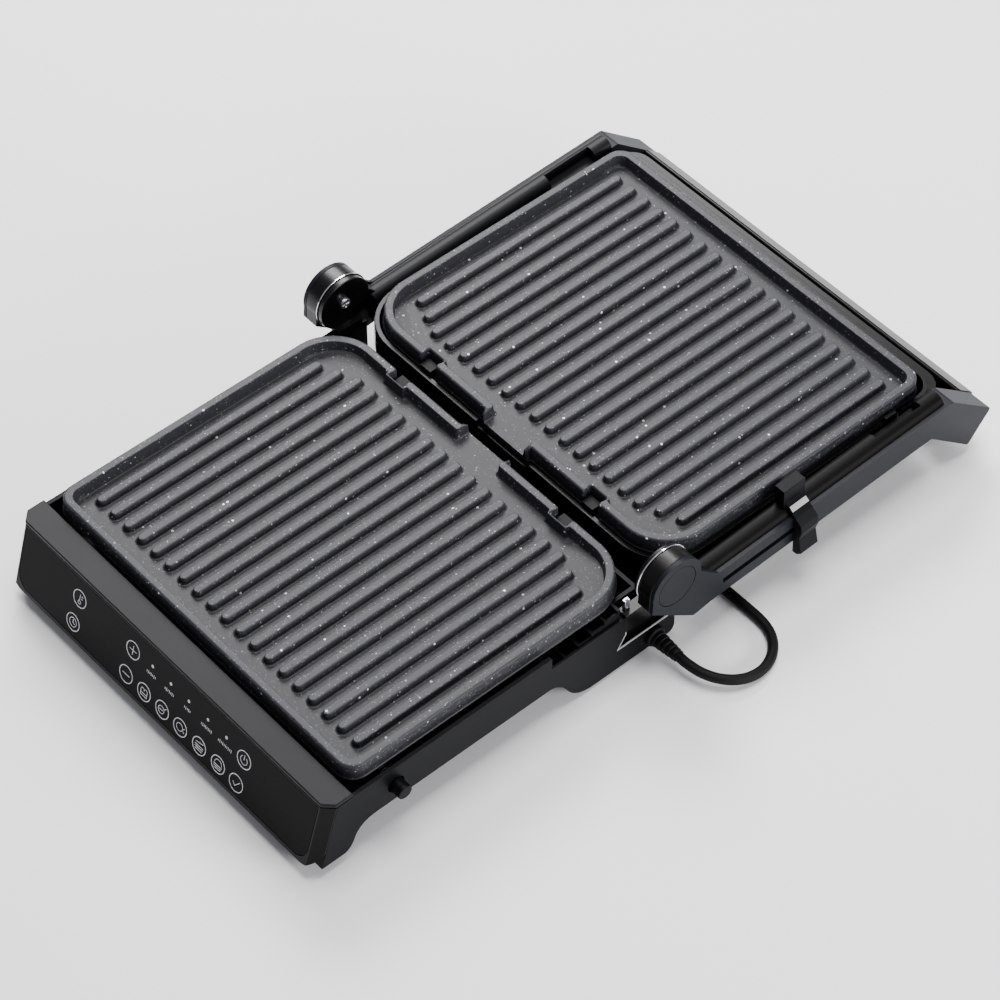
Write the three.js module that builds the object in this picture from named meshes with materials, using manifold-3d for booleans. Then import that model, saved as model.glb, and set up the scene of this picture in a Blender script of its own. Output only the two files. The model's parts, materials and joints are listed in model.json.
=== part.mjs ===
// Contact grill (panini press) opened flat: a base with a lower plate, and an upper housing with an
// identical plate, carried by two arms that hinge at the back of the base.
// Millimetres. +Z is up, +Y runs from the control panel towards the opened upper housing.

import * as THREE from 'three';
import { mergeVertices } from 'three/addons/utils/BufferGeometryUtils.js';
import Module from 'manifold-3d';

const wasm = await Module();
wasm.setup();

// ---------------------------------------------------------------- driving dimensions

const GAP = 0.3; // clearance between neighbouring solids
const SIDES = 28; // facets of a large round
const SMALL_SIDES = 12; // facets of a small round

// cooking plates
const PLATE_W = 290;
const PLATE_D = 231.7;
const PLATE_H = 12;
const PLATE_EDGE_Y = 8.9; // from the hinge axis to the plate's near edge
const PLATE_MID_Y = PLATE_EDGE_Y + PLATE_D / 2;
const RIM_Z = 70; // rim top above the table
const RIM_W = 7;
const PAN_DEPTH = 8.5;
const HINGE_CORNER_R = 35;
const FRONT_CORNER_R = 13;
const RIB_COUNT = 19;
const RIB_PITCH = 13.9;
const RIB_W = 6.6;
const RIB_TOP_W = 4;
const RIB_H = 4.6;
const CLIP_X = 78; // centre of each clip pocket
const CLIP_W = 14;
const CLIP_D = 8;
const CLIP_WALL = 2.4;
const SPOUT_W = 38;
const SPOUT_REACH = 3;

// hinge
const HINGE_Z = 73.5;
const DRUM_R = 20;
const PIN_R = 4;
const BUSH_R = 7;
const KNUCKLE_IN = 145;
const KNUCKLE_OUT = 153;
const ARM_IN = 150.5;
const ARM_OUT = 168;
const DRUM_IN = 154.6;
const ARM_RISE = 0.04; // radians: the arms climb slightly from the hinge to the handle

// base
const BASE_HALF = 151.5;
const WALL = 3;
const WALL_TOP = 58;
const RACK_WALL_TOP = 48.5; // the right and left walls are lower beside the rack
const WALL_BOTTOM = 28.5;
const FOOT_H = 3; // the rear box above the table
const FRONT_LEG_Z = 9; // the front leg above the table
const WALL_END_Y = -26.5;
const REAR_Y = 16;
const LEDGE_Z = 20.5;
const TRIM_Z = 61.5;
const PANEL_TOP_Y = -263;
const PANEL_TOP_Z = 58;
const PANEL_BOTTOM_Z = 10.5;
const PANEL_SLOPE = 0.29; // forward run of the front face for each millimetre down
const CHAMFER = 6.6;
const BEZEL_BACK_Y = -255.6;
const CORE_TOP = 52;
const RACK_START = -86.2;
const RACK_PITCH = 10.8;
const RACK_POCKETS = 5;
const RACK_WALL = 2.2;
const RACK_TOP = 44;
const RACK_RISE = 2.9; // each pocket is this much higher than the one before it
const POCKET_DEPTH = 8;
const BUTTON_Y = -211;
const BUTTON_Z = 42;
const BUTTON_REACH = 12.5;

// upper housing
const UPPER_HALF = 149.3;
const UPPER_NEAR_Y = 3.5;
const UPPER_FAR_Y = 249;
const UPPER_BOTTOM = 30;
const UPPER_BEVEL = 9;
const TILT_Y = 125;
const TILT_Z = 49;
const TILT_U = TILT_Y * Math.cos(ARM_RISE) + (TILT_Z - HINGE_Z) * Math.sin(ARM_RISE);
const TILT_V = (TILT_Z - HINGE_Z) * Math.cos(ARM_RISE) - TILT_Y * Math.sin(ARM_RISE);
const NOSE_FAR_Y = 256;
const NOSE_TOP = 55;
const TAB_Y0 = 200;
const TAB_Y1 = 210;
const TAB_TRAVEL = 5;

// mains lead
const CORD_R = 3.5;
const CORD_Y = -2;
const CORD_Z = 12;
const CORD_START_X = 175;
const COIL_X = 97;
const COIL_Y = 104;
const COIL_MEAN_R = 38.5;
const PLUG_Y = 172.6;
const PLUG_Z = 8;

// the object's middle in plan, which is the model's origin
const GRIP_OUT = 176;
const HANDLE_FAR_Y = 282.275;
const PANEL_FRONT_Y = PANEL_TOP_Y - PANEL_SLOPE * (PANEL_TOP_Z - PANEL_BOTTOM_Z);
const ORIGIN_X = (GRIP_OUT - ARM_OUT) / 2;
const ORIGIN_Y = (HANDLE_FAR_Y + PANEL_FRONT_Y) / 2;

// ---------------------------------------------------------------- materials

const finishes = {
  coating: { color: 0x4b4c50, roughness: 0.5, metalness: 0.1 },
  glossBlack: { color: 0x0d0d10, roughness: 0.16, metalness: 0 },
  satinBlack: { color: 0x18191c, roughness: 0.5, metalness: 0 },
  satinGrey: { color: 0x46484d, roughness: 0.45, metalness: 0.3 },
  slate: { color: 0x2d3038, roughness: 0.5, metalness: 0.1 },
  chrome: { color: 0xd4d7da, roughness: 0.12, metalness: 1 },
  steel: { color: 0xa3a6aa, roughness: 0.35, metalness: 1 },
  rubber: { color: 0x131314, roughness: 0.85, metalness: 0 },
  white: { color: 0xe9e9e6, roughness: 0.5, metalness: 0 },
  board: { color: 0x1c4a32, roughness: 0.6, metalness: 0 },
  nylon: { color: 0xd8d4c8, roughness: 0.6, metalness: 0 },
};

// ---------------------------------------------------------------- solids

function toSolid(geometry) {
  const bare = geometry.clone();
  bare.deleteAttribute('normal');
  bare.deleteAttribute('uv');
  const merged = mergeVertices(bare, 1e-4);
  return new wasm.Manifold(new wasm.Mesh({
    numProp: 3,
    vertProperties: new Float32Array(merged.attributes.position.array),
    triVerts: new Uint32Array(merged.index.array),
  }));
}

function toGeometry(solid) {
  const mesh = solid.getMesh();
  const geometry = new THREE.BufferGeometry();
  geometry.setAttribute('position', new THREE.BufferAttribute(mesh.vertProperties, 3));
  geometry.setIndex(new THREE.BufferAttribute(mesh.triVerts, 1));
  geometry.computeVertexNormals();
  return geometry;
}

function join(first, ...others) {
  return others.reduce((whole, other) => whole.add(toSolid(other)), toSolid(first));
}

function cut(solid, ...tools) {
  return tools.reduce((rest, tool) => rest.subtract(toSolid(tool)), solid);
}

function piece(name, shape, finish) {
  const geometry = shape.isBufferGeometry ? shape : toGeometry(shape);
  const mesh = new THREE.Mesh(geometry, new THREE.MeshStandardMaterial(finishes[finish]));
  mesh.name = name;
  return mesh;
}

function box(x0, x1, y0, y1, z0, z1) {
  const geometry = new THREE.BoxGeometry(Math.abs(x1 - x0), y1 - y0, z1 - z0);
  return geometry.translate((x0 + x1) / 2, (y0 + y1) / 2, (z0 + z1) / 2);
}

function outline(points) {
  return new THREE.Shape(points.map(([a, b]) => new THREE.Vector2(a, b)));
}

// A plan outline, given in x and y, raised from z0 to z1.
function alongZ(shape, z0, z1, steps = 5) {
  const geometry = new THREE.ExtrudeGeometry(shape, {
    depth: z1 - z0,
    bevelEnabled: false,
    curveSegments: steps,
  });
  return geometry.translate(0, 0, z0);
}

// A side outline, given in y and z, swept from xa to xb.
function alongX(shape, xa, xb, steps = 5) {
  const geometry = alongZ(shape, Math.min(xa, xb), Math.max(xa, xb), steps);
  const turn = new THREE.Matrix4().makeBasis(
    new THREE.Vector3(0, 1, 0),
    new THREE.Vector3(0, 0, 1),
    new THREE.Vector3(1, 0, 0),
  );
  return geometry.applyMatrix4(turn);
}

// A front outline, given in x and z, swept from y0 to y1.
function alongY(shape, y0, y1, steps = 5) {
  const geometry = alongZ(shape, -y1, -y0, steps);
  const turn = new THREE.Matrix4().makeBasis(
    new THREE.Vector3(1, 0, 0),
    new THREE.Vector3(0, 0, 1),
    new THREE.Vector3(0, -1, 0),
  );
  return geometry.applyMatrix4(turn);
}

// A round bar along X.
function rodX(y, z, radius, xa, xb, sides = SIDES, endRadius = radius) {
  const geometry = new THREE.CylinderGeometry(endRadius, radius, Math.abs(xb - xa), sides);
  geometry.rotateZ(-Math.PI / 2);
  return geometry.translate((xa + xb) / 2, y, z);
}

function rodZ(x, y, radius, z0, z1, sides = SIDES) {
  const geometry = new THREE.CylinderGeometry(radius, radius, z1 - z0, sides);
  geometry.rotateX(Math.PI / 2);
  return geometry.translate(x, y, (z0 + z1) / 2);
}

// A turned ring about Z: its half section is given in radius and height.
function ring(points, sides = SIDES) {
  const section = [...points, points[0]].map(([r, z]) => new THREE.Vector2(r, z));
  return new THREE.LatheGeometry(section, sides).rotateX(Math.PI / 2);
}

function tube(curve, radius, sides, steps) {
  const section = new THREE.Shape();
  section.absarc(0, 0, radius, 0, 2 * Math.PI, false);
  return new THREE.ExtrudeGeometry(section, {
    steps,
    extrudePath: curve,
    curveSegments: sides / 2,
  });
}

// A rectangle with its own radius for the low-y and the high-y corners.
function roundedRectangle(halfX, y0, y1, lowRadius, highRadius) {
  const shape = new THREE.Shape();
  const quarter = Math.PI / 2;
  shape.absarc(halfX - lowRadius, y0 + lowRadius, lowRadius, -quarter, 0, false);
  shape.absarc(halfX - highRadius, y1 - highRadius, highRadius, 0, quarter, false);
  shape.absarc(-halfX + highRadius, y1 - highRadius, highRadius, quarter, 2 * quarter, false);
  shape.absarc(-halfX + lowRadius, y0 + lowRadius, lowRadius, 2 * quarter, 3 * quarter, false);
  return shape;
}

// ---------------------------------------------------------------- cooking plates

// Length that a rib keeps at distance x from the middle, where the plate's corners cut it short.
function ribEnds(x) {
  const inner = PLATE_D / 2 - RIM_W;
  const beyond = Math.max(0, Math.abs(x) - 97.5);
  return [13 - inner, inner - 14.5 - beyond * 0.4];
}

function rib(x) {
  const foot = -PAN_DEPTH - 1;
  const top = -PAN_DEPTH + RIB_H;
  const [start, end] = ribEnds(x);
  const section = outline([
    [x - RIB_W / 2, foot],
    [x + RIB_W / 2, foot],
    [x + RIB_TOP_W / 2, top],
    [x - RIB_TOP_W / 2, top],
  ]);
  return alongY(section, start, end);
}

// Ribbed die-cast plate: origin at its middle, rim top at z = 0, hinge side towards +Y.
function cookingPlate(name) {
  const half = PLATE_D / 2;
  const body = roundedRectangle(PLATE_W / 2, -half, half, FRONT_CORNER_R, HINGE_CORNER_R);
  const pan = roundedRectangle(
    PLATE_W / 2 - RIM_W,
    -half + RIM_W,
    half - RIM_W,
    FRONT_CORNER_R - 6,
    HINGE_CORNER_R - 6,
  );
  const spoutTop = -PAN_DEPTH + 0.6;
  const spout = box(-SPOUT_W / 2, SPOUT_W / 2, half - 2, half + SPOUT_REACH, -PLATE_H, spoutTop);
  let plate = cut(join(alongZ(body, -PLATE_H, 0), spout), alongZ(pan, -PAN_DEPTH, 1));
  plate = cut(plate, box(-SPOUT_W / 2, SPOUT_W / 2, half - RIM_W - 1, half + 9, spoutTop, 1));
  for (const side of [-1, 1]) {
    const x = side * CLIP_X;
    const wall = CLIP_W / 2 + CLIP_WALL;
    const inside = half - CLIP_D - CLIP_WALL;
    plate = plate.add(toSolid(box(x - wall, x + wall, inside, half - 1, -PLATE_H, -1)));
    plate = cut(plate, box(x - CLIP_W / 2, x + CLIP_W / 2, half - CLIP_D, half + 1, -PLATE_H + 3, 1));
  }
  for (let index = 0; index < RIB_COUNT; index += 1) {
    const x = (index - (RIB_COUNT - 1) / 2) * RIB_PITCH;
    plate = plate.add(toSolid(rib(x)));
  }
  return piece(name, plate, 'coating');
}

// Sheathed element: a flat U with its two cold ends at the front, origin at the plate's middle.
function heater(name) {
  const corners = [
    [-30, -78, 0],
    [-112, -78, 0],
    [-112, 62, 0],
    [112, 62, 0],
    [112, -78, 0],
    [30, -78, 0],
  ];
  const path = new THREE.CurvePath();
  const points = corners.map(([x, y, z]) => new THREE.Vector3(x, y, z));
  const bend = 24;
  let from = points[0];
  for (let index = 1; index < points.length - 1; index += 1) {
    const corner = points[index];
    const back = points[index - 1].clone().sub(corner).setLength(bend);
    const ahead = points[index + 1].clone().sub(corner).setLength(bend);
    const enter = corner.clone().add(back);
    const leave = corner.clone().add(ahead);
    path.add(new THREE.LineCurve3(from, enter));
    path.add(new THREE.QuadraticBezierCurve3(enter, corner, leave));
    from = leave;
  }
  path.add(new THREE.LineCurve3(from, points[points.length - 1]));
  return piece(name, tube(path, 3.2, 6, 44), 'steel');
}

// Steel pan that throws the heat back at the plate, origin at the plate's middle.
function reflector(name) {
  const outer = box(-132, 132, -98, 98, -7, 2);
  const inner = box(-130.8, 130.8, -96.8, 96.8, -5.8, 3);
  return piece(name, cut(join(outer), inner), 'steel');
}

function thermostat(name) {
  return piece(name, join(rodZ(0, 0, 9, -4, 0, SMALL_SIDES), box(-14, 14, -4, 4, -3, -1)), 'steel');
}

// ---------------------------------------------------------------- base

function frontLine(z, inset) {
  return PANEL_TOP_Y + inset - PANEL_SLOPE * (PANEL_TOP_Z - z);
}

// The base's side outline: front leg, raised middle, rear box with its ledge.
function baseOutline() {
  const shape = new THREE.Shape();
  shape.moveTo(frontLine(FRONT_LEG_Z, 4), FRONT_LEG_Z);
  shape.lineTo(-252, FRONT_LEG_Z);
  shape.quadraticCurveTo(-247, FRONT_LEG_Z + 1, -244, 17);
  shape.quadraticCurveTo(-240, WALL_BOTTOM, -226, WALL_BOTTOM);
  shape.lineTo(-88, WALL_BOTTOM);
  shape.quadraticCurveTo(-80, WALL_BOTTOM - 1, -74, 16);
  shape.quadraticCurveTo(-67, FOOT_H, -52, FOOT_H);
  shape.lineTo(REAR_Y - 6, FOOT_H);
  shape.quadraticCurveTo(REAR_Y, FOOT_H, REAR_Y, FOOT_H + 7);
  shape.lineTo(REAR_Y, LEDGE_Z);
  shape.lineTo(WALL_END_Y - 7, LEDGE_Z);
  shape.lineTo(WALL_END_Y, LEDGE_Z + 11.5);
  shape.lineTo(WALL_END_Y, RACK_WALL_TOP);
  shape.lineTo(RACK_START - 1, RACK_WALL_TOP);
  shape.lineTo(RACK_START - 1, WALL_TOP);
  shape.lineTo(frontLine(PANEL_TOP_Z, 4), PANEL_TOP_Z);
  return shape;
}

function leanForward(geometry) {
  const lean = new THREE.Matrix4().set(
    1, 0, 0, 0,
    0, 1, PANEL_SLOPE, -PANEL_SLOPE * PANEL_TOP_Z,
    0, 0, 1, 0,
    0, 0, 0, 1,
  );
  return geometry.applyMatrix4(lean);
}

// The front block in plan with its two chamfered corners, leaning forward towards the table.
function frontPrism(inset, back, z0, z1) {
  const half = BASE_HALF - inset;
  const front = PANEL_TOP_Y + inset;
  const plan = outline([
    [-half, back],
    [-half, front + CHAMFER],
    [-half + CHAMFER, front],
    [half - CHAMFER, front],
    [half, front + CHAMFER],
    [half, back],
  ]);
  return leanForward(alongZ(plan, z0, z1));
}

function baseShell() {
  const inside = BASE_HALF - WALL;
  const core = box(-140, 140, WALL_END_Y - 6, -6, 18, CORE_TOP);
  const behindBezel = frontPrism(4, -200, -20, 90);
  const behindChamfers = leanForward(box(-200, 200, BEZEL_BACK_Y + GAP, -200, -20, 90));
  const rearSide = box(-200, 200, -215, 60, -10, 90);
  let shell = join(alongX(baseOutline(), -BASE_HALF, BASE_HALF, 8), core);
  shell = shell.intersect(join(behindBezel, behindChamfers, rearSide));
  const middle = box(-inside, inside, -243, WALL_END_Y - WALL, WALL_BOTTOM + WALL, 70);
  const behindPanel = frontPrism(4 + WALL, -240, WALL_BOTTOM + WALL, 70);
  const legHollow = frontPrism(4 + WALL, -241, FRONT_LEG_Z + WALL, 40);
  const coreHollow = box(-137, 137, -60, -9, FOOT_H + WALL, CORE_TOP + 1);
  const rearHollow = box(-inside, inside, -52, REAR_Y - WALL, FOOT_H + WALL, LEDGE_Z - 2.5);
  shell = cut(shell, middle, behindPanel, legHollow, coreHollow, rearHollow);
  const rackEnd = RACK_START + RACK_POCKETS * RACK_PITCH + RACK_WALL;
  const rackSeat = box(inside - 1, BASE_HALF - 1.6, RACK_START - GAP, rackEnd + GAP, 33.7, 70);
  shell = cut(shell, rackSeat);
  const coverHole = box(-130, 130, -218, -95, WALL_BOTTOM - 1, WALL_BOTTOM + WALL + 1);
  const trayHole = box(-48.5, 48.5, 8, REAR_Y + 1, FOOT_H + WALL, LEDGE_Z - 2.5);
  const drain = box(-22, 22, -5, 11, LEDGE_Z - 3.5, LEDGE_Z + 1);
  const glandHole = rodX(CORD_Y, CORD_Z, 5.6, inside - 1, BASE_HALF + 1, SMALL_SIDES);
  const buttonHole = rodX(BUTTON_Y, BUTTON_Z, 6.4, inside - 1, BASE_HALF + 1, SMALL_SIDES);
  return piece('base_shell', cut(shell, coverHole, trayHole, drain, glandHole, buttonHole), 'satinBlack');
}

function bottomCover() {
  const plate = box(-129.6, 129.6, -217.6, -95.4, WALL_BOTTOM, WALL_BOTTOM + WALL);
  let cover = join(plate);
  for (let index = -3; index <= 3; index += 1) {
    const x = index * 22;
    cover = cut(cover, box(x - 2, x + 2, -180, -130, WALL_BOTTOM - 1, WALL_BOTTOM + WALL + 1));
  }
  return piece('bottom_cover', cover, 'satinBlack');
}

function frontBezel() {
  const lowerRadius = 13;
  const face = roundedRectangle(BASE_HALF, PANEL_BOTTOM_Z, 90, lowerRadius, 1);
  const skin = cut(join(frontPrism(0, BEZEL_BACK_Y, -20, PANEL_TOP_Z)), frontPrism(3.7, -150, -30, 80));
  const bezel = skin.intersect(toSolid(alongY(face, -400, -200)));
  return piece('front_bezel', cut(bezel, panelBlank(0.3, 1.3)), 'glossBlack');
}

// The touch panel's outline on the sloped face, grown by a margin, as thick as its pocket.
function panelBlank(margin, depth) {
  const half = BASE_HALF - CHAMFER - 1.5 + margin;
  const face = roundedRectangle(half, PANEL_BOTTOM_Z + 3 - margin, PANEL_TOP_Z - 1.2 + margin, 11, 1);
  const slab = frontPrism(depth, -150, -20, 90);
  const front = toSolid(frontPrism(-1, -256, -20, 90)).subtract(toSolid(slab));
  return toGeometry(front.intersect(toSolid(alongY(face, -400, -200))));
}

function controlPanel() {
  const proud = cut(join(panelBlank(0, 1)), panelAir());
  return piece('control_panel', proud, 'glossBlack');
}

// Everything in front of the panel's finished face.
function panelAir() {
  return toGeometry(toSolid(box(-200, 200, -400, -240, -30, 100)).subtract(toSolid(wideFront())));
}

function wideFront() {
  return leanForward(box(-220, 220, PANEL_TOP_Y, -200, -60, 130));
}

function topTrim() {
  const half = BASE_HALF;
  const plan = outline([
    [-half, -243.6],
    [-half, PANEL_TOP_Y + CHAMFER],
    [-half + CHAMFER, PANEL_TOP_Y],
    [half - CHAMFER, PANEL_TOP_Y],
    [half, PANEL_TOP_Y + CHAMFER],
    [half, -243.6],
  ]);
  return piece('top_trim', alongZ(plan, PANEL_TOP_Z + GAP, TRIM_Z), 'satinGrey');
}

// Stepped rack inside the right wall: each pocket is one lid height.
function heightRack() {
  const outer = BASE_HALF - 1.9;
  const end = RACK_START + RACK_POCKETS * RACK_PITCH;
  const last = RACK_TOP + RACK_POCKETS * RACK_RISE - 1;
  let rack = join(box(137, outer, end, end + RACK_WALL, 34, last));
  for (let index = 0; index < RACK_POCKETS; index += 1) {
    const y = RACK_START + index * RACK_PITCH;
    const top = RACK_TOP + index * RACK_RISE;
    rack = rack.add(toSolid(box(137, outer, y, y + RACK_PITCH + 0.1, 34, top)));
    const far = y + RACK_PITCH - 0.1;
    rack = cut(rack, box(138.5, outer - 1.2, y + RACK_WALL, far, top - POCKET_DEPTH, 70));
  }
  return piece('height_rack', rack, 'satinBlack');
}

// Hinge bracket standing on the ledge, with a dished face towards the plates.
function hingeKnuckle(name, side) {
  const drum = rodX(0, 0, DRUM_R, side * KNUCKLE_IN, side * KNUCKLE_OUT);
  const foot = LEDGE_Z + GAP - HINGE_Z;
  const web = box(side * KNUCKLE_IN, side * (KNUCKLE_IN + 2.5), -14, 14, foot, 2);
  const step = box(side * KNUCKLE_IN, side * (KNUCKLE_IN + 2.5), -26.2, -13, foot, -22);
  const shelf = box(side * KNUCKLE_IN, side * KNUCKLE_OUT, -27.5, -12, -24.6, -22);
  const dishWide = side > 0 ? 14.5 : 4.5;
  const dishDeep = side > 0 ? 4.5 : 14.5;
  const dishFrom = side > 0 ? KNUCKLE_IN - 0.1 : -KNUCKLE_IN - 4;
  const dish = rodX(0, 0, dishWide, dishFrom, dishFrom + 4.1, SIDES, dishDeep);
  const bore = rodX(0, 0, PIN_R + GAP, side * 140, side * 160, SMALL_SIDES);
  return piece(name, cut(join(drum, web, step, shelf), dish, bore), 'satinBlack');
}

function hingeRing(name, side) {
  const band = join(rodX(0, 0, DRUM_R + 0.9, side * 153.3, side * 154.3));
  const hole = rodX(0, 0, DRUM_R - 3, side * 150, side * 160);
  return piece(name, cut(band, hole), 'chrome');
}

function hingePin(name, side) {
  const shaft = rodX(0, 0, PIN_R, side * 149.4, side * 164, SMALL_SIDES);
  return piece(name, shaft, 'steel');
}

function hingeScrew(name, side) {
  const head = join(rodX(0, 0, 4, side * 146.4, side * 149, SMALL_SIDES));
  const slot = box(side * 146, side * 147.2, -5, 5, -0.6, 0.6);
  return piece(name, cut(head, slot), 'steel');
}

function foot(name, x, y, length, top) {
  return piece(name, box(x - 14, x + 14, y - length / 2, y + length / 2, 0, top - GAP), 'rubber');
}

function controlBoard() {
  const board = box(-110, 110, -252, -250.4, 34, 56);
  let whole = join(board, box(-96, -70, -250.6, -246, 38, 52));
  for (let index = 0; index < 4; index += 1) {
    const x = -30 + index * 30;
    whole = whole.add(toSolid(box(x, x + 9, -250.6, -247.5, 42, 49)));
  }
  return piece('control_board', whole, 'board');
}

function powerBoard() {
  const board = box(64, 128, -46, 8, 7, 8.6);
  const relay = box(74, 92, -38, -20, 8.4, 18);
  const capacitor = rodZ(110, -30, 6, 8.4, 18.5, SMALL_SIDES);
  return piece('power_board', join(board, relay, capacitor), 'board');
}

function terminalBlock() {
  let block = join(box(131, 141, -12, 8, 7, 17.4));
  for (const y of [-7, -2, 3]) {
    block = cut(block, rodZ(136, y, 1.6, 12, 19, 8));
  }
  return piece('terminal_block', block, 'nylon');
}

function pressSpring(name) {
  const turns = 5;
  const path = new THREE.Curve();
  path.getPoint = (t, target = new THREE.Vector3()) => {
    const angle = t * turns * 2 * Math.PI;
    return target.set(-t * 11, 3.6 * Math.cos(angle), 3.6 * Math.sin(angle));
  };
  return piece(name, tube(path, 0.5, 4, 50), 'steel');
}

// Push button along X: its stem, its cap and the flange that keeps it in the wall.
function releaseButton() {
  const cap = rodX(0, 0, 5.2, 0, BUTTON_REACH, 20);
  const flange = rodX(0, 0, 7.6, -3, 0.4, 20);
  const stem = rodX(0, 0, 2.2, -9, -2.5, SMALL_SIDES);
  return piece('release_button_lower', join(cap, flange, stem), 'satinBlack');
}

function dripTray() {
  const front = box(-48, 48, REAR_Y - 2.6, REAR_Y, 6.4, LEDGE_Z - 3);
  const body = box(-46, 46, -48, REAR_Y - 2, 6.4, 17);
  const lip = box(-20, 20, REAR_Y - 1, REAR_Y + 5, 15, 17.5);
  const hollow = box(-44, 44, -46, REAR_Y - 4, 8.2, 20);
  return piece('drip_tray', cut(join(front, body, lip), hollow), 'satinBlack');
}

// ---------------------------------------------------------------- mains lead

function cordGland() {
  const collar = rodX(CORD_Y, CORD_Z, 7.4, BASE_HALF + GAP, BASE_HALF + 3, SMALL_SIDES);
  const neck = rodX(CORD_Y, CORD_Z, 5.2, BASE_HALF - 6, BASE_HALF + 1, SMALL_SIDES);
  const sleeve = rodX(CORD_Y, CORD_Z, 5.8, BASE_HALF + 2, CORD_START_X - GAP, SMALL_SIDES, 4.4);
  return piece('cord_gland', join(collar, neck, sleeve), 'rubber');
}

// Centre line of the free lead, from the strain relief to the coil.
const CORD_ROUTE = [
  [175, -2, 12],
  [178, -2, 12],
  [181, -2, 11.9],
  [191.9, -0.1, 10.9],
  [201.6, 5.5, 9.2],
  [208.7, 14, 7.2],
  [212.5, 24.4, 5.3],
  [212.5, 35.6, 4],
  [208.7, 46, 3.6],
  [201.6, 54.5, 3.6],
  [191.9, 60.1, 3.6],
  [181, 62, 3.6],
  [167, 62, 3.6],
  [151, 62, 3.6],
  [135, 62, 3.6],
];

// Centre line of the short tail from the coil to the plug.
const TAIL_ROUTE = [
  [58.5, 136, 10],
  [58.5, 142, 9.2],
  [58.5, 148, 8.5],
  [58.5, 154, 8.1],
  [58.5, 160, 8],
];

function leadTube(name, route, steps) {
  const points = route.map(([x, y, z]) => new THREE.Vector3(x, y, z));
  const path = new THREE.CatmullRomCurve3(points, false, 'centripetal');
  return piece(name, tube(path, CORD_R, 8, steps), 'rubber');
}

function cordCoil() {
  const inner = COIL_MEAN_R - 2 * CORD_R;
  const outer = COIL_MEAN_R + 2 * CORD_R;
  const profile = [
    [inner, 0.1],
    [outer, 0.1],
    [outer, 2 * CORD_R],
    [COIL_MEAN_R + CORD_R, 13.4],
    [COIL_MEAN_R - CORD_R, 13.4],
    [inner, 2 * CORD_R],
  ];
  return piece('cord_coil', ring(profile), 'rubber');
}

function cordTie() {
  const over = outline([
    [-16, 0.2],
    [-14.4, 0.2],
    [-14.4, 8],
    [-10.2, 14],
    [10.2, 14],
    [14.4, 8],
    [14.4, 0.2],
    [16, 0.2],
    [16, 8.6],
    [11, 15.4],
    [-11, 15.4],
    [-16, 8.6],
  ]);
  return piece('cord_tie', alongY(over, -5, 5), 'satinBlack');
}

function plug() {
  const body = outline([[-17, 2], [-8, -12], [8, -12], [17, 2], [17, 24], [-17, 24]]);
  const collar = box(-6, 6, -11.7, -10, -5, 5);
  const flat = alongZ(body, -7.2, 7.2);
  const pins = [-9.5, 9.5].map((x) => {
    const pin = new THREE.CylinderGeometry(2, 2, 20, 10);
    return pin.translate(x, 33, 0);
  });
  return piece('plug', join(flat, collar, ...pins), 'rubber');
}

// ---------------------------------------------------------------- arms and handle

// Side outline of the arm in its own frame: u runs along the arm from the hinge, v is up.
const ARM_TOP = -18.5;
const ARM_BOTTOM = -40;
const ARM_CREST = -13.5;

function hingeEndOutline() {
  const shape = new THREE.Shape();
  const start = -0.15;
  const end = Math.PI + 0.42;
  shape.absarc(0, 0, DRUM_R, start, end, false);
  shape.lineTo(-19.5, -11.5);
  shape.lineTo(11, ARM_BOTTOM);
  shape.lineTo(44, ARM_BOTTOM);
  shape.lineTo(44, ARM_TOP);
  shape.lineTo(35, ARM_TOP);
  return shape;
}

function hookOutline() {
  return outline([
    [223, ARM_BOTTOM],
    [222, ARM_TOP],
    [241.5, ARM_TOP],
    [279.5, -53.5],
    [260, -75.5],
  ]);
}

function arm(name, side) {
  const at = (x) => side * x;
  const drum = alongX(hingeEndOutline(), at(DRUM_IN), at(ARM_OUT), 16);
  const section = outline([
    [at(ARM_IN), ARM_BOTTOM],
    [at(ARM_OUT), ARM_BOTTOM],
    [at(ARM_OUT), ARM_TOP],
    [at(162), ARM_TOP + 3.6],
    [at(155), ARM_CREST],
    [at(ARM_IN), ARM_CREST - 1.5],
  ]);
  const bar = alongY(section, 25, 240);
  const hook = alongX(hookOutline(), at(ARM_IN), at(ARM_OUT));
  const pocket = box(at(ARM_IN - 1), at(158.5), 181, 221, ARM_CREST - 9, 0);
  const groove = box(at(ARM_OUT - 3), at(ARM_OUT + 1), 39, 119, -31.2, -26.8);
  const bushSeat = rodX(0, 0, BUSH_R + GAP, at(DRUM_IN - 1), at(161.3), 20);
  const pinEnd = rodX(0, 0, PIN_R + GAP, at(160), at(164.6), SMALL_SIDES);
  const inlaySeat = rodX(0, -1, 15.4, at(ARM_OUT - 1.2), at(ARM_OUT + 1));
  const pivotSeat = rodX(TILT_U, TILT_V, 3.3, at(ARM_IN - 1), at(157), SMALL_SIDES);
  let whole = cut(join(drum, bar, hook), pocket, bushSeat, pinEnd, inlaySeat, pivotSeat);
  if (side > 0) {
    whole = cut(whole, groove);
  }
  return piece(name, whole, 'slate');
}

function armInlay(name, side) {
  const disc = rodX(0, -1, 15, side * (ARM_OUT - 0.9), side * ARM_OUT);
  return piece(name, disc, 'slate');
}

function hingeBush(name, side) {
  const sleeve = join(rodX(0, 0, BUSH_R, side * 155.2, side * 161, 20));
  const bore = rodX(0, 0, PIN_R + GAP, side * 150, side * 165, SMALL_SIDES);
  return piece(name, cut(sleeve, bore), 'nylon');
}

function pivotPin(name, side) {
  return piece(name, rodX(0, 0, 3, side * 144.5, side * 156.5, SMALL_SIDES), 'steel');
}

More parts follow.
